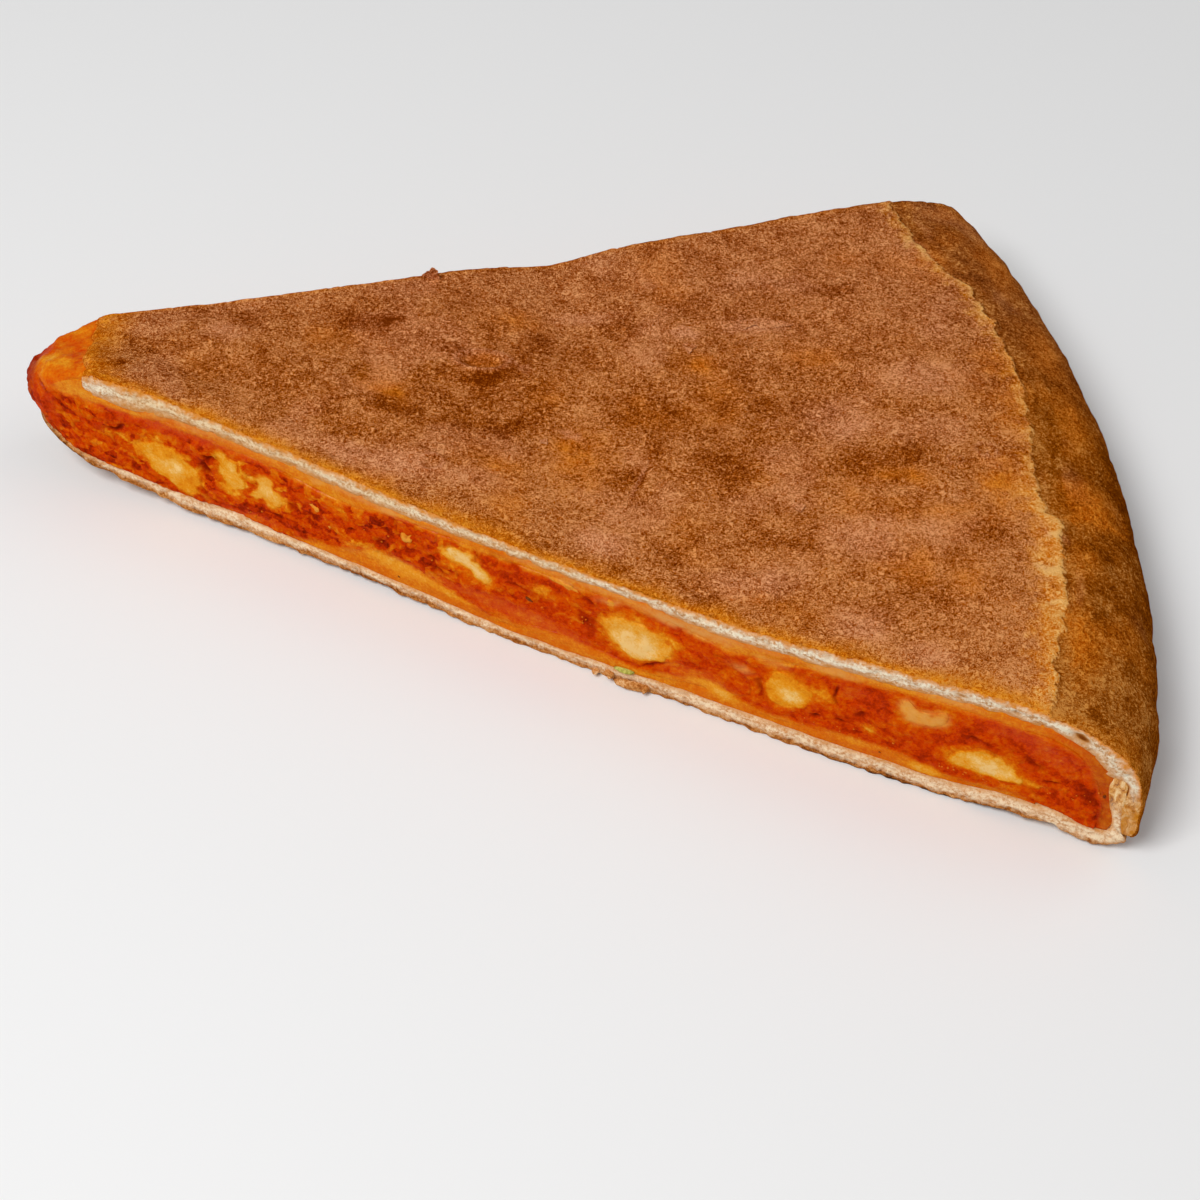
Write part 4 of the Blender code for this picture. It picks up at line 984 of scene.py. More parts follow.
def upper_cheese_sides(v):
    """Upper and lower side of the cheese under the top sheet, down the inside of its dome."""
    reach = to_bend(v, 0.9, 620)
    high = field(reach, lambda r, w: crust_under(r, w) + 0.25, v)
    low = field(reach, lambda r, w: cheese_under(r, w) - 0.35, v)
    outer = arch(v, DOME_INNER_DEPTH, crust_under, 0.25)
    outer[..., 0] += 1.8 * swell(23.0, 19.5, outer[..., 1]) * swell(5.0, 9.0, outer[..., 1])
    outer[..., 0] = np.minimum(outer[..., 0], np.interp(outer[..., 1], *zip(*TURNED_UP_EDGE)) + 0.4)
    inner = arch(v, CHEESE_INNER_DEPTH - 0.3, cheese_under, -0.35)
    outer, inner = (spread(np.concatenate([side, chain(v, end)]), 110)
                    for side, end in ((outer, (225.7, 5.3)), (inner, (222.9, 4.9))))
    return np.concatenate([high, outer]), np.concatenate([low, inner])


def lower_cheese_sides(v):
    """Upper and lower side of the cheese on the lower sheet, swelling from nothing at both its ends."""
    reach = np.linspace(CHEESE_LOW_START - 1, CHEESE_LOW_END, 520)[:, None]
    high = field(reach, lambda r, w: floor_top(r, w) + 0.3 + (cheese_top(r, w) - floor_top(r, w))
                 * swell(-1, 12, r - CHEESE_LOW_START) * swell(-1, 6, CHEESE_LOW_END - r), v)
    return high, field(reach, lambda r, w: floor_top(r, w) - 0.1, v)


def make_cheese(material):
    """Both layers of melted cheese: nearly flat at the cut, with soft low waves."""
    rays = np.linspace(-1, 1, 9)
    for layer, sides, rows in (("upper", upper_cheese_sides, 12), ("lower", lower_cheese_sides, 14)):
        reach, height, v, depth = rings(*sides(rays), rays, rays, rows)
        waves = [0.22 * rough(face_points(reach, height, far) * (0.4, 1, 1), 2.6, 91 + far) - 0.12
                 - 0.12 * np.abs(2 * depth - 1) ** 3 for far in (0, 1)]
        make_piece(f"cheese_{layer}_melted", [lay(reach, height, v, *waves)], material, f"cheese_{layer}",
                   "melted_cheese", **both_faces(reach, height, v)[2])


def filling_sides(v):
    """Upper and lower side of the filling between the two cheeses and into the rim."""
    reach = to_bend(v, 0.6, 660)
    roof = field(reach, lambda r, w: cheese_under(r, w) + 0.3, v)
    bed = field(reach, lambda r, w: floor_top(r, w) - 0.1 + (cheese_top(r, w) - floor_top(r, w)) * 0.6
                * swell(0, 10, r - CHEESE_LOW_START), v)
    inner = arch(v, CHEESE_INNER_DEPTH + 0.4, cheese_under, 0.3, 84)
    inner = spread(np.concatenate([inner, chain(v, (223.4, 6.4))]), 100)
    bowl = chain(v, (212.5, 6.5), (218.0, 5.5), (223.0, 4.9))
    bowl = spread(np.concatenate([bed[-1:] + (1.0, 0), bowl]), 100)
    return np.concatenate([roof, inner]), np.concatenate([bed, bowl])


def make_filling(material, sizes):
    """Chopped, saucy filling between the cheeses, and the open mass of it at the tip."""
    rays = np.linspace(-1, 1, 8)
    reach, height, v, _ = rings(*filling_sides(rays), rays, rays, 54)
    near, far, fields = both_faces(reach, height, v)
    share = sizes.lump_height / LUMP_HEIGHT
    hide = 0.3 * np.clip(1 - (reach - crust_start(v) - 0.6), 0, 1)
    points = lay(reach, height, v, near * share - hide, far * share - hide)
    make_piece("filling_chopped", [points], material, "filling", "filling", **fields)
    make_tip_mass(material)


def mass_crown(v):
    """Height of the tip's open mass where the upper crust begins."""
    return top_height(crust_start(v), v) - across(v, MASS_DROP_NEAR, -MASS_DROP_FAR)


def mass_sides(v, w):
    """Open front and top of the tip's mass on rays v, and its inner side against the filling on rays w."""
    start, crown = crust_start(v), mass_crown(v)
    end = start + MASS_BACK
    outer = spread(chain(v, *((r, floor_top(r, v) + 0.05) for r in (end, 9.0, 5.5, 3.6)),
                         (2.0, 14.6 + 0.6 * (1 - v * v)), (0.8, 17.4), (0.4, 20.8), (2.2, crown - 4.6),
                         (5.2, crown - 2.0), (start - 2.6, crown - 0.6), (start, crown - 0.2),
                         (start + MASS_BACK * 0.6, crown - 1.4), (end, crown - 3.4)), MASS_ROWS)
    low = floor_top(crust_start(w) + MASS_BACK, w) + 0.05
    t = np.linspace(0, 1, MASS_ROWS)[:, None]
    inner = np.stack([crust_start(w) + MASS_BACK + 0 * t, low + (mass_crown(w) - 3.4 - low) * t], -1)
    return outer, inner


def make_tip_mass(material):
    """Saucy cheese that fills the rounded tip, open in front and on top: amber above, redder below."""
    v, w = np.linspace(-1, 1, MASS_ROWS), np.linspace(-1, 1, 9)
    reach, height, v, depth = rings(*mass_sides(v, w), v, w, 46)
    near, far, fields = both_faces(reach, height, v)
    sink = 1.7 * swell(0.9, 3.2, reach - crust_start(v))
    points = lay(reach, height, v, near - sink, far - sink, 1.2)
    x, y, z = np.moveaxis(points, -1, 0)
    p = points[:, :MASS_ROWS].copy()
    # Lumps, seams and one crack on the open side
    chopped = swell(25.0, 19.0, z[:, :MASS_ROWS])
    first, second, own = pebbles(p + 0.5 * grain(p, 2.0, 305)[..., None], 1.5, 306)
    seam = chopped * np.clip(1 - (second - first) / 0.2, 0, 1) * swell(-0.2, 0.5, grain(p, 3.0, 314))
    crack = patches(x, z, (MASS_CRACK,)) * swell(0, -2.5, y)
    soft = (0.35 * rough(p, 5.0, 301, 2) + 0.2 * rough(p, 1.6, 303) - 0.15 - 0.25 * seam
            + chopped * (0.3 * (own - 0.5) + 0.3 * (1 - first ** 2) - 0.15) - 0.9 * crack[:, :MASS_ROWS])
    row = np.arange(MASS_ROWS)[:, None]
    soft *= swell(0, 8, row) * swell(0, 8, MASS_ROWS - 1 - row)
    points[:, :MASS_ROWS] += grid_normals(p) * soft[..., None]
    # Colours
    inside = np.zeros(reach[:, MASS_ROWS:].shape)
    cells, seams = (np.concatenate([part, inside], 1) for part in (chopped * (own - 0.5), seam))
    q, on_top = points, swell(22.0, 27.0, z)
    # The first spot is a painted highlight, a pale amber patch on top; the other two make the mass redder and
    # more amber
    spots = patches(x + 0.6 * grain(q, 1.5, 311), y + 0.6 * grain(q, 1.5, 312), MASS_HIGHLIGHT_AND_SPOTS)
    tint = (0.32 + (0.25 + spots) * on_top + 0.13 * rough(q, 4.5, 307) + 0.08 * rough(q, 1.2, 309, 2)
            + 0.3 * cells)
    brown = patches(x, y, (MASS_BROWN,)) * on_top
    # Painted shade in the crack, the seams and low on the mass where it turns under; it is also darker at its
    # far-left edge, and the brown patch is its own colour
    dark = crack + 0.6 * seams + 0.4 * swell(18.0, 8.0, z) + 0.7 * swell(-108.4, -111.6, x) + brown
    share = np.where(depth == 0, 1.0, swell(5.0, 1.0, reach))
    own_fields = dict(tint=tint, milky=0.0, crevice=np.clip(dark, 0, 1), gloss=0.4 + 0.4 * on_top)
    fields = {key: fields[key] + (value - fields[key]) * share for key, value in own_fields.items()}
    make_piece("tip_mass", [points], material, "filling", "filling", **fields)


# Chicken

def make_chunk(node, far, outline, depth, seed, material):
    """Chopped piece of chicken: a flat, fibrous front flush with the cut face, and a tapering body."""
    side = 1.0 if far else -1.0
    middle = outline.mean(0)
    ring = closed_curve(outline, 120)
    scale = np.concatenate([np.linspace(0.02, 0.92, 22),
                            [0.96, 0.99, 1.02, 1.03, 1.0, 0.93, 0.78, 0.55, 0.3, 0.02]])
    drop = np.concatenate([np.zeros(22), [0.02, 0.08, 0.3, 0.7],
                           depth * np.array([0.3, 0.5, 0.75, 0.9, 0.98, 1.0])])[:, None]
    place = middle + (ring - middle)[None] * scale[:, None, None]
    p = face_points(place[..., 0], place[..., 1], far)
    outwards = (ring - middle) / np.hypot(*(ring - middle).T)[:, None]
    jagged = 0.4 * rough(face_points(*ring.T, far), 1.3, seed + 1, 2) * swell(0.4, 1.0, scale)[:, None]
    reach, height = np.moveaxis(place + jagged[..., None] * outwards, -1, 0)
    lean = np.stack([reach * 0.88 - height * 0.47, reach * 0.47 + height * 0.88, 0 * reach + seed], -1)
    front = swell(1.0, 0.0, drop)
    fibres = 0.05 * rough(lean * (0.35, 1.5, 1), 1.5, seed, 2)
    out = 0.06 - drop + front * (fibres + 0.16 * rough(p, 2.4, seed + 3, 2))
    points = np.concatenate([plan(reach, side, side * out), height[..., None]], -1)
    _, tint, milky, crevice, gloss = cut_face(reach, height, far)
    make_piece(node + "_bite", [points], material, node, "chicken", flip=True, tint=tint, milky=milky,
               crevice=crevice * front, gloss=gloss)


def make_chicken(material):
    """All pieces of chicken, at their places on both cut faces."""
    for far, face in enumerate(("near", "far")):
        for number, piece in enumerate(chicken_pieces(far), 1):
            depth = CHICKEN_DEPTH * (0.8 + 0.4 * ((number * 37) % 10) / 10)
            make_chunk(f"chicken_{face}_{number}", far, piece[0], depth, 100 * far + number, material)


# Small things

def morsel(place, out, wide, tall, thick, turn, seed, uneven=0.25, rows=9, count=14):
    """Bumpy oval lying on a cut face at (reach, height): latitude rings from its inner to its outer pole."""
    a = np.linspace(0.08, math.pi - 0.08, rows)[:, None]
    b = np.linspace(0, math.tau, count, endpoint=False)[None]
    shape = np.stack([np.sin(a) * np.cos(b), np.sin(a) * np.sin(b), -np.cos(a) + 0 * b], -1)
    shape = shape * (1 + uneven * rough(shape * 2.2 + 9 * seed, 1.6, seed, 2))[..., None]
    dx, dz = turned(shape[..., 0] * wide, shape[..., 1] * tall, turn)
    height = place[1] + dz
    return np.concatenate([plan(place[0] + dx, -1.0, -(out + shape[..., 2] * thick)), height[..., None]], -1)


def morsels(marks, out, thick, seed, *form, share=1.0):
    """One morsel for each mark: reach, height, half length, half height, turn."""
    return [morsel((reach, height), out, share * wide, share * tall, thick, turn, seed + i, *form)
            for i, (reach, height, wide, tall, turn) in enumerate(marks)]


def on_skin(x, y):
    """Height of the plain skin at a plan place: that of the nearest point of a fine grid over the slice."""
    reach, v = np.meshgrid(np.linspace(6, 212, 420), np.linspace(-1, 1, 160), indexing="ij")
    nearest = np.argmin(np.hypot(*np.moveaxis(plan(reach, v) - (x, y), -1, 0)))
    return top_height(reach, v).ravel()[nearest]


def flake(x, y, long, wide, turn, seed, base):
    """Thin curled flake on the skin: rings from under its middle, round its ragged edge, to its top."""
    b = np.linspace(0, math.tau, 26, endpoint=False)[None]
    r = np.array([0.05, 0.5, 0.85, 1.0, 1.02, 1.0, 0.85, 0.5, 0.05])[:, None]
    rise = np.array([0, 0, 0, 0.01, 0.03, 0.05, 0.06, 0.06, 0.06])[:, None]
    ragged = 1 + 0.25 * np.sin(3 * b + seed) + 0.12 * np.sin(7 * b + 2 * seed)
    dx, dy = turned(r * ragged * np.cos(b) * long, r * ragged * np.sin(b) * wide, turn)
    curl = 0.12 * (r * r) * (0.5 + 0.5 * np.sin(b + seed)) + 0.1
    return np.stack([x + dx, y + dy, base + rise + curl], -1)


def sauce_drops():
    """Drops scattered by a seeded draw; each row gives reach from and to, height, its spread and a number."""
    rng = np.random.default_rng(SEED)
    drops = []
    for first, last, height, about, number in DROPLETS:
        for _ in range(number):
            size = rng.uniform(0.08, 0.19)
            place = rng.uniform(first, last), height + rng.uniform(-1, 1) * about
            turn, seed = rng.uniform(-40, 40), int(rng.integers(1, 99))
            drops.append(morsel(place, -0.06, size * 1.4, size, size, turn, seed, 0.1, 5, 8))
    return drops


def skin_flakes():
    """Flakes lying on the skin, and one standing on its edge."""
    flakes = [flake(*mark, i, on_skin(*mark[:2])) for i, mark in enumerate(FLAKES)]
    x, y, wide, tall = STANDING_FLAKE
    long, side, thick = np.moveaxis(flake(0, 0, tall, wide, 0, 7, 0), -1, 0)
    upright = [x + side, y + 0.6 * (thick - thick.mean()), on_skin(x, y) + 0.75 * tall + long]
    return flakes + [np.stack(upright, -1)]


def make_bits():
    """Pepper, onion, a leaf, crumbs under the edge, drops of sauce and flakes on the skin."""
    sauce = get_material("Saucy filling")
    pepper = morsels(PEPPER, 0.0, 0.12, 1, 0.6, 7, 10, share=0.8)
    make_piece("pepper_specks", pepper, get_material("Ground pepper"), None, "filling", True)
    make_piece("onion_bits", morsels(ONIONS, -0.3, 0.4, 20, 0.8), sauce, None, "filling", True,
               tint=0.7, milky=0.25, crevice=0.0, gloss=0.7)
    herb = morsels((LEAF,), 0.2, 0.4, 41, 0.35, 11, 18)
    make_piece("herb_bit", herb, get_material("Green herb"), None, "filling", True)
    crumbs = morsels(CRUMBS, 0.35, 1.0, 50, 0.4, 13, 22)
    make_piece("crust_crumbs", crumbs, get_material("Baked lower crust"), None, "lower_crust", True,
               depth=0.0, pore=0.0, rise=0.4, tone=1.2, burnt=0.0, back=0.0, wall=0.0)
    make_piece("sauce_drops", sauce_drops(), sauce, None, "filling", True,
               tint=0.54, milky=0.1, crevice=0.0, gloss=1.0)
    make_piece("skin_flakes", skin_flakes(), get_material("Baked upper crust"), None, "upper_crust", True,
               tone=0.3, pale=0.9, warm=0.3, oil=0.0, step=14.0, fringe=14.0, rim=0.0, crumb=0.0, pore=0.0,
               depth=0.0, clean=1.0, wall=0.0, outside=1.0)


# Materials

def paint(colour):
    """Linear colour of a property's four numbers, or of three given as 0 to 255 on a screen."""
    return tuple(colour) if len(colour) == 4 else srgb(*colour)


class Wire:
    """Output of a shader node, which takes part in sums and products like a number."""

    def __init__(self, graph, socket):
        self.graph, self.socket = graph, socket

    def __add__(self, other):
        return self.graph.maths("ADD", self, other)

    def __mul__(self, other):
        return self.graph.maths("MULTIPLY", self, other)

    def __sub__(self, other):
        return self.graph.maths("SUBTRACT", self, other)

    def __rsub__(self, other):
        return self.graph.maths("SUBTRACT", other, self)

    __radd__, __rmul__ = __add__, __mul__

    def levels(self, low, high, to_low=0.0, to_high=1.0):
        """Stretched from one range to another, held at its ends."""
        return self.graph.wire("ShaderNodeMapRange", 0, Value=self, From_Min=low, From_Max=high,
                               To_Min=to_low, To_Max=to_high)


class Graph:
    """Short way to add shader nodes to a tree and join them."""

    def __init__(self, tree):
        self.tree = tree

    def put(self, socket, value):
        """Link a socket or set its value."""
        if isinstance(value, Wire):
            self.tree.links.new(value.socket, socket)
        else:
            socket.default_value = paint(value) if socket.type == "RGBA" else value

    def feed(self, node, **inputs):
        """Put values into a node's inputs, by name with _ for a space."""
        for key, value in inputs.items():
            self.put(node.inputs[key.replace("_", " ")], value)

    def add(self, kind, settings=None, **inputs):
        """New node; settings are its own properties."""
        node = self.tree.nodes.new(kind)
        for key, value in (settings or {}).items():
            setattr(node, key, value)
        self.feed(node, **inputs)
        return node

    def wire(self, kind, output, settings=None, **inputs):
        """One output of a new node."""
        return Wire(self, self.add(kind, settings, **inputs).outputs[output])

    def several(self, kind, settings, *values, places=(0, 1, 2)):
        """New node whose inputs are told apart by their places."""
        node = self.add(kind, settings)
        for place, value in zip(places, values):
            self.put(node.inputs[place], value)
        return node

    def maths(self, operation, *values):
        """A sum, product or other result of numbers."""
        return Wire(self, self.several("ShaderNodeMath", {"operation": operation}, *values).outputs[0])

    def blend(self, share, a, b):
        """Mix of two colours."""
        settings = {"data_type": "RGBA", "clamp_factor": True}
        node = self.several("ShaderNodeMix", settings, share, a, b, places=(0, 6, 7))
        return Wire(self, node.outputs[2])

    def ramp(self, share, *stops):
        """Colours along a line: (place, colour) stops."""
        node = self.add("ShaderNodeValToRGB", Fac=share)
        elements = node.color_ramp.elements
        elements[0].position, elements[1].position = stops[0][0], stops[-1][0]
        elements[0].color, elements[1].color = paint(stops[0][1]), paint(stops[-1][1])
        for place, colour in stops[1:-1]:
            elements.new(place).color = paint(colour)
        return Wire(self, node.outputs["Color"])

    def field(self, name):
        """A field stored on the mesh."""
        return self.wire("ShaderNodeAttribute", "Fac", {"attribute_name": name})

    def noise(self, vector, size, detail=2.0, roughness=0.5, distortion=0.0):
        """Noise of a size in millimetres."""
        return self.wire("ShaderNodeTexNoise", "Fac", Vector=vector, Scale=1000.0 / size, Detail=detail,
                         Roughness=roughness, Distortion=distortion)

    def stretched(self, vector, *scale):
        """The place, scaled along each axis."""
        return self.wire("ShaderNodeMapping", "Vector", Vector=vector, Scale=scale)

    def group(self, name, **inputs):
        """Outputs of a shared group, placed here with its own inputs."""
        tree = bpy.data.node_groups.get(name) or new_group(name, *GROUPS[name])
        node = self.add("ShaderNodeGroup", {"node_tree": tree}, **inputs)
        return [Wire(self, output) for output in node.outputs]

    def bumps(self, shader, *layers):
        """Bumps one after another: (height, strength, distance in millimetres)."""
        normal = {}
        for height, strength, distance in layers:
            normal = {"Normal": self.wire("ShaderNodeBump", "Normal", Height=height, Strength=strength,
                                          Distance=distance * MM, **normal)}
        self.feed(shader, **normal)


def new_group(name, inputs, outputs, formula):
    """Shader node group with named sockets, its outputs worked out from its inputs by the formula."""
    tree = bpy.data.node_groups.new(name, "ShaderNodeTree")
    for socket, default in inputs.items():
        kind = {"Vector": "Vector", "Cream": "Color", "Tan": "Color"}.get(socket, "Float")
        made = tree.interface.new_socket(name=socket, in_out="INPUT", socket_type="NodeSocket" + kind)
        if kind == "Float":
            made.default_value = default
    for socket in outputs:
        kind = "Color" if socket == "Color" else "Float"
        tree.interface.new_socket(name=socket, in_out="OUTPUT", socket_type="NodeSocket" + kind)
    n = Graph(tree)
    start, end = n.add("NodeGroupInput"), n.add("NodeGroupOutput")
    results = formula(n, *(Wire(n, start.outputs[socket]) for socket in inputs))
    n.feed(end, **dict(zip(outputs, results)))
    return tree


def baked_stipple(n, at):
    """Baked dough's stipple: crackle lines, spots and soft mottling, each from 0 to 1, and their height."""
    wide, fine = (n.maths("ABSOLUTE", n.noise(at, size, 1.5, 0.5, 1.3) - 0.5).levels(0.005, end, 1.0, 0.0)
                  for size, end in ((1.1, 0.06), (0.55, 0.065)))
    crackle = n.maths("MAXIMUM", wide, fine * 0.85)
    spots = n.noise(at, 0.7, 2.0, 0.6).levels(0.37, 0.63)
    mottle = n.noise(at, 5.5, 5.0, 0.66).levels(0.34, 0.66)
    return crackle, spots, mottle, crackle * 0.6 + spots * 0.4


def bread_crumb(n, at, pore, cream, tan):
    """Cut bread: cream with tan specks and streaks, and small pores painted tan as shade. Colour, height."""
    fine = n.noise(at, 0.6, 3.0, 0.65)
    broad = n.noise(n.stretched(at, 0.3, 1.0, 1.6), 1.6, 3.0, 0.55)
    share = (fine * 0.62 + broad * 0.38).levels(0.45, 0.62) * 0.9
    return n.blend(n.maths("MAXIMUM", share, pore * 0.9), cream, tan), fine - pore


def sauce_stain(n, at, tint, milky, crevice):
    """Whatever the sauce has stained: red, amber or cream by its tint, milky cheese, and painted shade in
    crevices.
    """
    c = bpy.context.scene.slice_colours
    fine, middle = n.noise(at, 0.45, 3.0, 0.6), n.noise(at, 1.5, 3.0, 0.55, 0.5)
    tint = tint + fine.levels(0.25, 0.75, -0.09, 0.09) + middle.levels(0.25, 0.75, -0.07, 0.07)
    colour = n.ramp(tint, (0.0, (104, 20, 0)), (0.14, c.sauce_red), (0.30, (196, 54, 0)),
                    (0.45, c.sauce_orange), (0.60, (216, 112, 8)), (0.74, c.amber), (0.87, (232, 170, 70)),
                    (1.0, c.chicken))
    colour = n.blend(milky * middle.levels(0.3, 0.55, 0.45, 0.95), colour, c.cheese)
    # Painted shade in crevices: a blend towards dark red
    return n.blend(crevice * middle.levels(0.65, 0.4, 0.6, 0.95), colour, (122, 24, 0)), fine, middle


GROUPS = {
    "Baked stipple": ({"Vector": None}, ("Crackle", "Spots", "Mottle", "Height"), baked_stipple),
    "Cut crumb": ({"Vector": None, "Pore": 0.0, "Cream": None, "Tan": None},
                  ("Color", "Height"), bread_crumb),
    "Stained by sauce": ({"Vector": None, "Tint": 0.5, "Milky": 0.0, "Crevice": 0.0},
                         ("Color", "Height", "Middle"), sauce_stain),
}


def new_material(name, roughness, **constants):
    """Material with a Principled shader whose steady values are set on its own sockets."""
    material = bpy.data.materials.new(name)
    material.use_nodes = True
    n = Graph(material.node_tree)
    shader = material.node_tree.nodes["Principled BSDF"]
    n.feed(shader, Roughness=roughness, **constants)
    return material, n, shader, n.wire("ShaderNodeTexCoord", "Object")


def torn_wall(n, at, amber):
    """Colour of torn, fibrous dough in the rim's end: cream to brown, amber where asked."""
    torn = n.ramp(n.noise(n.stretched(at, 1.0, 1.0, 0.45), 1.1, 4.0, 0.7, 0.6), (0.34, (116, 54, 8)),
                  (0.43, (186, 108, 30)), (0.52, (222, 156, 76)), (0.64, (248, 212, 156)))
    return n.blend(n.noise(at, 2.0, 2.0).levels(0.35, 0.6, 0.9, 0.4) * amber, torn, (210, 130, 20))


def upper_crust_material(name):
    """Browned skin, glossy rim band and cream cut faces of the top sheet."""
    c = bpy.context.scene.slice_colours
    material, n, shader, at = new_material(name, 0.6, Specular_IOR_Level=0.0)
    crackle, spots, mottle, stipple_height = n.group("Baked stipple", Vector=at)
    tone, pale, warm, rim, outside, depth, pore = (n.field(key) for key in (
        "tone", "pale", "warm", "rim", "outside", "depth", "pore"))
    # Skin
    level = (0.475 + tone * 0.20 + (crackle - 0.30) * 0.86 + (spots - 0.5) * 0.42 + (mottle - 0.5) * 0.28
             + pale * 0.12)
    skin = n.ramp(level, (0.0, c.skin_dark), (0.3, (138, 58, 2)), (0.55, c.skin_mid), (0.8, (199, 112, 40)),
                  (1.0, c.skin_light))
    toast = n.ramp(level, (0.0, (124, 54, 0)), (0.5, (186, 82, 0)), (1.0, (228, 138, 40)))
    pink = n.ramp(level, (0.0, (118, 48, 4)), (0.5, (182, 94, 42)), (1.0, (236, 166, 118)))
    colour = n.blend(warm * mottle.levels(0.1, 0.8, 0.35, 1.0), skin, toast)
    colour = n.blend(pale * 0.75, colour, pink)
    # Golden strip before the step
    side = n.field("step") + n.noise(at, 1.4, 3.0, 0.6).levels(0.3, 0.7, -0.7, 0.7)
    on_skin_side = side.levels(-0.15, 0.15)
    uneven = n.noise(at, 2.6, 4.0, 0.65).levels(0.3, 0.7)
    fringe = n.field("fringe") + uneven.levels(0.0, 1.0, 3.0, -3.0)
    strip = n.ramp(0.45 + (level - 0.5) * 0.7 + (uneven - 0.5) * 0.4 + pale * 0.5
                   + (side.levels(2.4, 0.4) - 0.3) * 0.28,
                   (0.0, (168, 76, 0)), (0.35, (216, 108, 0)), (0.65, (232, 142, 38)), (1.0, (246, 190, 110)))
    colour = n.blend(fringe.levels(7.5, 2.0, 0.0, 0.9) * on_skin_side, colour, strip)
    # Rim band, darker low on its outer wall: partly its darker bake, partly painted shade on the side turned
    # from the light
    rim = n.maths("MAXIMUM", rim, 1.0 - on_skin_side)
    rim_level = (0.44 + tone * 0.18 + (crackle - 0.30) * 0.5 + (spots - 0.5) * 0.34 + (mottle - 0.5) * 0.4
                 + (outside - 0.62) * 0.34)
    band_colour = n.ramp(rim_level, (0.0, (76, 28, 0)), (0.3, (110, 48, 0)), (0.55, c.rim_brown),
                         (0.8, (170, 92, 18)), (1.0, (210, 142, 68)))
    band_colour = n.blend(pale * 0.3, n.blend(warm * 0.85, band_colour, toast), pink)
    colour = n.blend(rim, colour, band_colour)
    # Oil along the cut
    oiled = n.ramp(level, (0.0, (168, 72, 0)), (0.5, (210, 108, 4)), (1.0, (234, 150, 40)))
    oil = n.field("oil") * n.noise(at, 1.8, 2.0).levels(0.3, 0.55, 0.6, 1.0)
    colour = n.blend(oil * (1.0 - rim * 0.7), colour, oiled)
    # Cut faces
    cream = n.blend(n.field("clean"), (248, 220, 176), c.crumb)
    cut, cut_height = n.group("Cut crumb", Vector=at, Pore=pore, Cream=cream, Tan=(196, 132, 66))
    depth = depth + n.noise(at, 1.7, 3.0, 0.6).levels(0.3, 0.7, -0.16, 0.16)
    cut = n.blend(depth.levels(0.55, 0.92) * 0.85, cut, (212, 138, 60))
    cut = n.blend(depth.levels(0.42, 0.1) * 0.9, cut, (228, 138, 28))
    cut = n.blend(n.field("wall") * 0.9, cut, torn_wall(n, at, outside.levels(0.3, 0.16)))
    # Painted shade in the holes and the torn seam
    cut = n.blend(pore.levels(1.0, 1.5), cut, (128, 62, 14))
    edge = n.field("crumb") + n.noise(at, 0.7, 2.0).levels(0.3, 0.7, -0.22, 0.22)
    n.feed(shader, Base_Color=n.blend(edge.levels(0.35, 0.65), colour, cut),
           Roughness=(rim + oil * 0.6).levels(0.0, 1.0, 0.66, 0.36))
    n.bumps(shader, (stipple_height, 0.6, 0.28), (cut_height, 0.35, 0.2))
    return material


def lower_crust_material(name):
    """Tan, bubbly underside and cream cut faces of the lower sheet."""
    c = bpy.context.scene.slice_colours
    material, n, shader, at = new_material(name, 0.62, Specular_IOR_Level=0.0)
    crackle, spots, mottle, stipple_height = n.group("Baked stipple", Vector=at)
    level = (0.45 + (mottle - 0.5) * 0.45 + (spots - 0.5) * 0.35 + (crackle - 0.35) * 0.3
             + n.field("tone") * 0.18)
    under = n.ramp(level, (0.0, (100, 50, 14)), (0.35, (172, 100, 40)), (0.7, (212, 148, 82)),
                   (1.0, (232, 190, 140)))
    cut, cut_height = n.group("Cut crumb", Vector=at, Pore=n.field("pore"), Cream=c.crumb_low,
                              Tan=(202, 134, 72))
    depth = n.field("depth")
    stain = (depth + n.noise(at, 2.2, 3.0, 0.6).levels(0.3, 0.7, -0.14, 0.14)).levels(0.66, 0.96)
    bread = n.blend(stain * 0.7, cut, (216, 146, 78))
    rise = n.field("rise") + n.noise(at, 1.5, 3.0, 0.6).levels(0.25, 0.75, -0.75, 0.75)
    colour = n.blend(rise.levels(0.9, 2.2), under, bread)
    # Dark along the bottom of the cut face: painted shade under the lip at the tip, and darker round reach
    # 187
    colour = n.blend(n.field("burnt") * rise.levels(0.5, -0.1), colour, (74, 36, 14))
    back = n.ramp(level, (0.0, (120, 62, 18)), (1.0, (216, 150, 84)))
    colour = n.blend(n.field("back") * depth.levels(0.25, 0.0), colour, back)
    n.feed(shader, Base_Color=n.blend(n.field("wall") * 0.9, colour, torn_wall(n, at, 0.0)))
    n.bumps(shader, (stipple_height, 0.4, 0.25), (cut_height, 0.35, 0.2))
    return material


def stained_material(name, height, dull, glossy, coat, soft, radius):
    """Wet food stained by the sauce, with a thin wet coat where its gloss is high."""
    material, n, shader, at = new_material(
        name, dull, Specular_IOR_Level=0.0, Coat_Roughness=0.18, Subsurface_Weight=soft,
        Subsurface_Scale=0.0015, Subsurface_Radius=radius)
    colour, fine, middle = n.group("Stained by sauce", Vector=at, Tint=n.field("tint"),
                                   Milky=n.field("milky"), Crevice=n.field("crevice"))
    gloss = n.field("gloss") + middle.levels(0.35, 0.65, -0.3, 0.3)
    n.feed(shader, Base_Color=colour, Roughness=gloss.levels(0.0, 1.0, dull, glossy),
           Coat_Weight=gloss.levels(0.0, 1.0, 0.02, coat))
    n.bumps(shader, (middle, height, 0.5), (fine, height, 0.22))
    return material


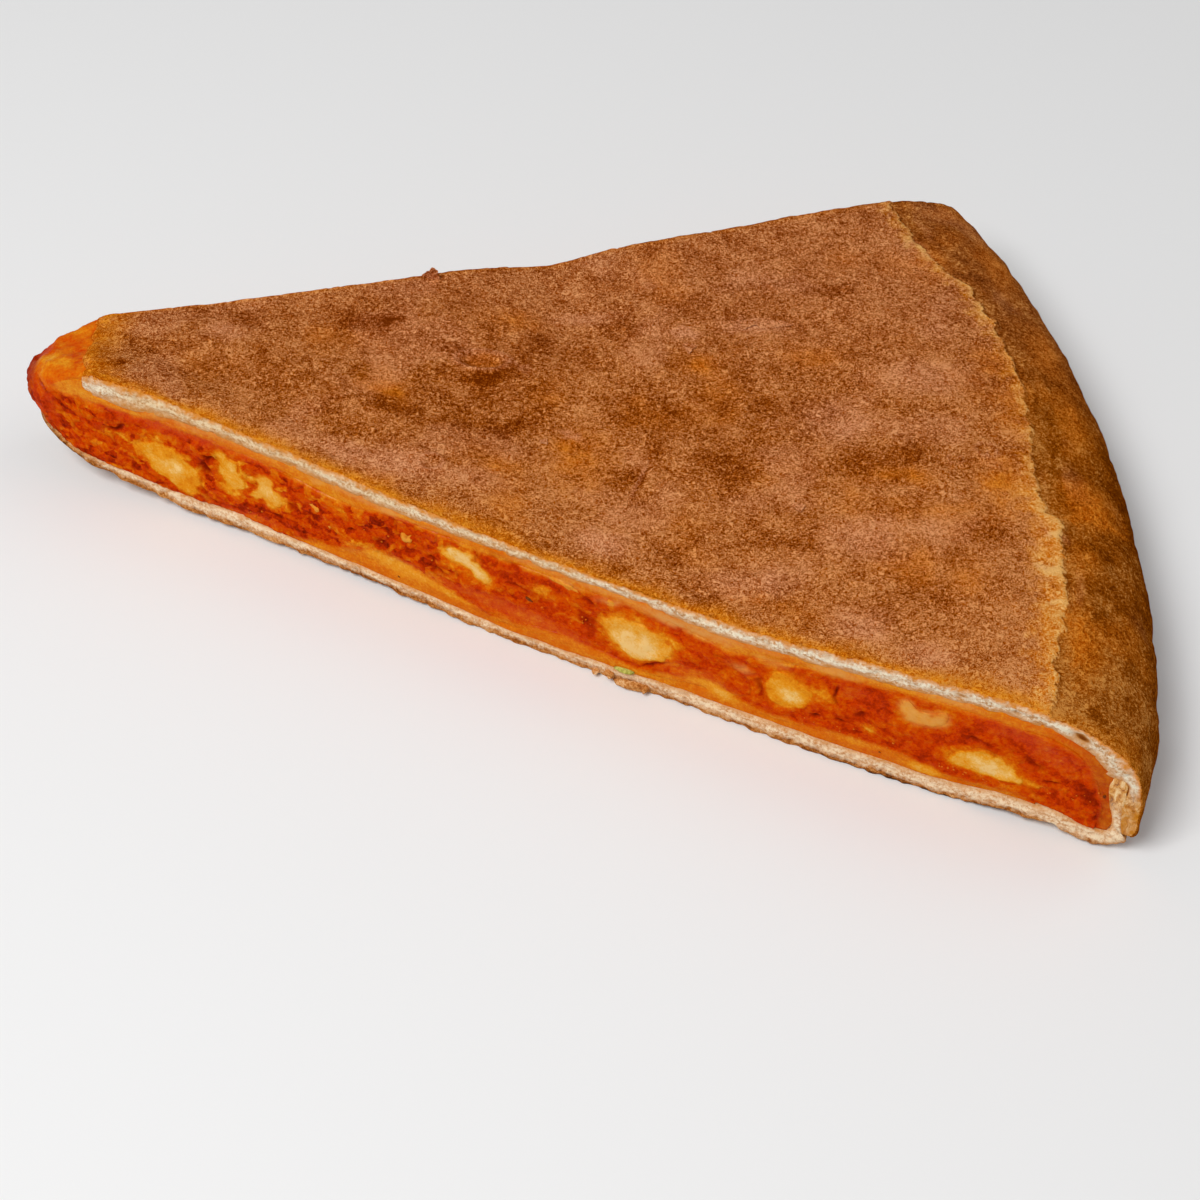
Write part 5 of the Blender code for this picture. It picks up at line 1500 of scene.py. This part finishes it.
def speckled_material(name, dark, light, roughness, specular):
    """Two colours of one thing in fine mottling."""
    material, n, shader, at = new_material(name, roughness, Specular_IOR_Level=specular)
    noise = n.noise(at, 0.6, 3.0, 0.6)
    n.feed(shader, Base_Color=n.ramp(noise, (0.3, dark), (0.7, light)))
    n.bumps(shader, (noise, 0.4, 0.2))
    return material


FINISHES = {
    "Baked upper crust": (upper_crust_material,),
    "Baked lower crust": (lower_crust_material,),
    "Saucy filling": (stained_material, 0.4, 0.5, 0.3, 0.2, 0.05, (1.0, 0.35, 0.12)),
    "Melted cheese": (stained_material, 0.22, 0.5, 0.35, 0.16, 0.12, (1.0, 0.5, 0.2)),
    "Chopped chicken": (stained_material, 0.2, 0.55, 0.4, 0.1, 0.1, (1.0, 0.6, 0.3)),
    "Green herb": (speckled_material, (136, 130, 30), (214, 206, 108), 0.5, 0.1),
    "Ground pepper": (speckled_material, (84, 32, 6), (136, 66, 18), 0.6, 0.05),
}


def get_material(name):
    """The named finish, made once."""
    make, *values = FINISHES[name]
    return bpy.data.materials.get(name) or make(name, *values)


# Stage

def set_down(name, data, right, up, back, place):
    """Camera or light at a place, turned by its three directions."""
    obj = bpy.data.objects.new(name, data)
    obj.matrix_world = Matrix([*zip(right, up, back, place), (0, 0, 0, 1)])
    bpy.context.scene.collection.objects.link(obj)
    return obj


def directions(gaze, roll=0.0):
    """Right, up and backward directions of a level look along the gaze, turned about it by roll degrees."""
    back = -gaze / np.linalg.norm(gaze)
    right = np.cross((0, 0, 1), back)
    right = right / np.linalg.norm(right)
    c, s = math.cos(math.radians(roll)), math.sin(math.radians(roll))
    up = np.cross(back, right)
    return right * c + up * s, up * c - right * s, back


def add_camera():
    """Camera at the photograph's viewing angle."""
    data = bpy.data.cameras.new("camera")
    data.lens = CAMERA_LENS
    data.sensor_width = 36.0
    data.clip_start = 0.01
    azimuth, elevation = np.radians(CAMERA_AZIMUTH), np.radians(CAMERA_ELEVATION)
    level = np.cos(elevation)
    gaze = np.array([np.sin(azimuth) * level, np.cos(azimuth) * level, np.sin(elevation)])
    bpy.context.scene.camera = set_down("camera", data, *directions(gaze, CAMERA_ROLL), CAMERA_PLACE)


def add_soft_light(name, place, size, watts):
    """Square softbox at a place, facing the slice."""
    data = bpy.data.lights.new(name, "AREA")
    data.size = size
    data.energy = watts
    set_down(name, data, *directions(-np.array(place, float)), place)


def add_floor():
    """Plain pale floor."""
    mesh = bpy.data.meshes.new("floor")
    mesh.from_pydata([(-3, -3, 0), (3, -3, 0), (3, 3, 0), (-3, 3, 0)], [], [(0, 1, 2, 3)])
    floor = bpy.data.objects.new("floor", mesh)
    bpy.context.scene.collection.objects.link(floor)
    mesh.materials.append(new_material("Pale floor", 0.8, Specular_IOR_Level=0.2,
                                       Base_Color=(0.86, 0.86, 0.86, 1))[0])


# Add-on

def colour_property(name, text, *numbers):
    """Colour that a user may change."""
    return bpy.props.FloatVectorProperty(name=name, description=text, subtype="COLOR", size=4, min=0, max=1,
                                         default=srgb(*numbers))


class SliceColours(bpy.types.PropertyGroup):
    """Colours of the slice."""

    skin_dark: colour_property("Skin, dark", "Darkest spots of the top skin", 98, 34, 0)
    skin_mid: colour_property("Skin, middle", "Main colour of the top skin", 168, 82, 18)
    skin_light: colour_property("Skin, light", "Raised crackle of the top skin", 226, 154, 94)
    rim_brown: colour_property("Rim", "Main colour of the rim band", 140, 68, 4)
    crumb: colour_property("Crumb", "Cut bread of the top sheet", 255, 242, 214)
    crumb_low: colour_property("Lower crumb", "Cut bread of the lower sheet", 250, 224, 186)
    sauce_red: colour_property("Sauce, red", "Deep red of the filling", 154, 34, 0)
    sauce_orange: colour_property("Sauce, orange", "Orange of the filling", 206, 80, 0)
    amber: colour_property("Amber", "Stained cheese and chicken", 228, 147, 26)
    cheese: colour_property("Cheese", "Milky melted cheese", 220, 149, 74)
    chicken: colour_property("Chicken", "Pale inside of the chicken", 239, 197, 124)


class SliceSizes(bpy.types.PropertyGroup):
    """Sizes of the slice's relief."""

    skin_relief: bpy.props.FloatProperty(
        name="Skin relief", description="Share of the modelled relief of the top skin", default=1.0,
        min=0, max=3)
    lump_height: bpy.props.FloatProperty(
        name="Lump height", description="Height of the filling's lumps, in millimetres", default=LUMP_HEIGHT,
        min=0, max=2)


def make_with(make, finish, *sizes):
    """Make a piece in its finish, with the user's sizes where it has some."""
    make(get_material(finish), *sizes)
    return {"FINISHED"}


class SLICE_OT_top_crust(bpy.types.Operator):
    """Make the top sheet of dough with its dome over the rim"""

    bl_idname = "slice.top_crust"
    bl_label = "Top crust"

    def execute(self, context):
        return make_with(make_top_crust, "Baked upper crust", context.scene.slice_sizes)


class SLICE_OT_bottom_crust(bpy.types.Operator):
    """Make the lower sheet of dough with its heel and turned-up edge"""

    bl_idname = "slice.bottom_crust"
    bl_label = "Bottom crust"

    def execute(self, context):
        return make_with(make_bottom_crust, "Baked lower crust")


class SLICE_OT_cheese(bpy.types.Operator):
    """Make the two layers of melted cheese"""

    bl_idname = "slice.cheese"
    bl_label = "Cheese"

    def execute(self, context):
        return make_with(make_cheese, "Melted cheese")


class SLICE_OT_filling(bpy.types.Operator):
    """Make the saucy filling and its open mass at the tip"""

    bl_idname = "slice.filling"
    bl_label = "Filling"

    def execute(self, context):
        return make_with(make_filling, "Saucy filling", context.scene.slice_sizes)


class SLICE_OT_chicken(bpy.types.Operator):
    """Make the pieces of chicken in both cut faces"""

    bl_idname = "slice.chicken"
    bl_label = "Chicken"

    def execute(self, context):
        return make_with(make_chicken, "Chopped chicken")


class SLICE_OT_bits(bpy.types.Operator):
    """Make the small loose things: pepper, onion, herb, crumbs, drops of sauce and flakes"""

    bl_idname = "slice.bits"
    bl_label = "Small bits"

    def execute(self, context):
        make_bits()
        return {"FINISHED"}


class SLICE_OT_stage(bpy.types.Operator):
    """Add the camera, floor and soft light"""

    bl_idname = "slice.stage"
    bl_label = "Stage"

    def execute(self, context):
        scene = context.scene
        scene.view_settings.view_transform = "Standard"
        scene.view_settings.look = "None"
        add_camera()
        add_floor()
        for light in LIGHTS:
            add_soft_light(*light)
        world = bpy.data.worlds.new("soft surround")
        world.use_nodes = True
        surround = world.node_tree.nodes["Background"]
        surround.inputs["Color"].default_value = (1, 1, 1, 1)
        surround.inputs["Strength"].default_value = SURROUND
        scene.world = world
        return {"FINISHED"}


class SLICE_PT_panel(bpy.types.Panel):
    """Panel with the pieces, colours and sizes"""

    bl_label = "Pizza slice"
    bl_idname = "SLICE_PT_panel"
    bl_space_type = "VIEW_3D"
    bl_region_type = "UI"
    bl_category = "Pizza slice"

    def draw(self, context):
        for operator in OPERATORS:
            self.layout.operator(operator.bl_idname)
        for group in (context.scene.slice_colours, context.scene.slice_sizes):
            for key in group.bl_rna.properties.keys():
                if key not in ("rna_type", "name"):
                    self.layout.prop(group, key)


OPERATORS = (SLICE_OT_top_crust, SLICE_OT_bottom_crust, SLICE_OT_cheese, SLICE_OT_filling, SLICE_OT_chicken,
             SLICE_OT_bits, SLICE_OT_stage)
CLASSES = (SliceColours, SliceSizes) + OPERATORS + (SLICE_PT_panel,)


def register():
    """Add the classes and the scene's properties."""
    for cls in CLASSES:
        bpy.utils.register_class(cls)
    bpy.types.Scene.slice_colours = bpy.props.PointerProperty(type=SliceColours)
    bpy.types.Scene.slice_sizes = bpy.props.PointerProperty(type=SliceSizes)


def unregister():
    """Take the classes and properties away again."""
    del bpy.types.Scene.slice_colours
    del bpy.types.Scene.slice_sizes
    for cls in reversed(CLASSES):
        bpy.utils.unregister_class(cls)


def main():
    """Make every piece in order."""
    register()
    for piece in ("top_crust", "bottom_crust", "cheese", "filling", "chicken", "bits", "stage"):
        getattr(bpy.ops.slice, piece)()


if __name__ == "__main__":
    main()
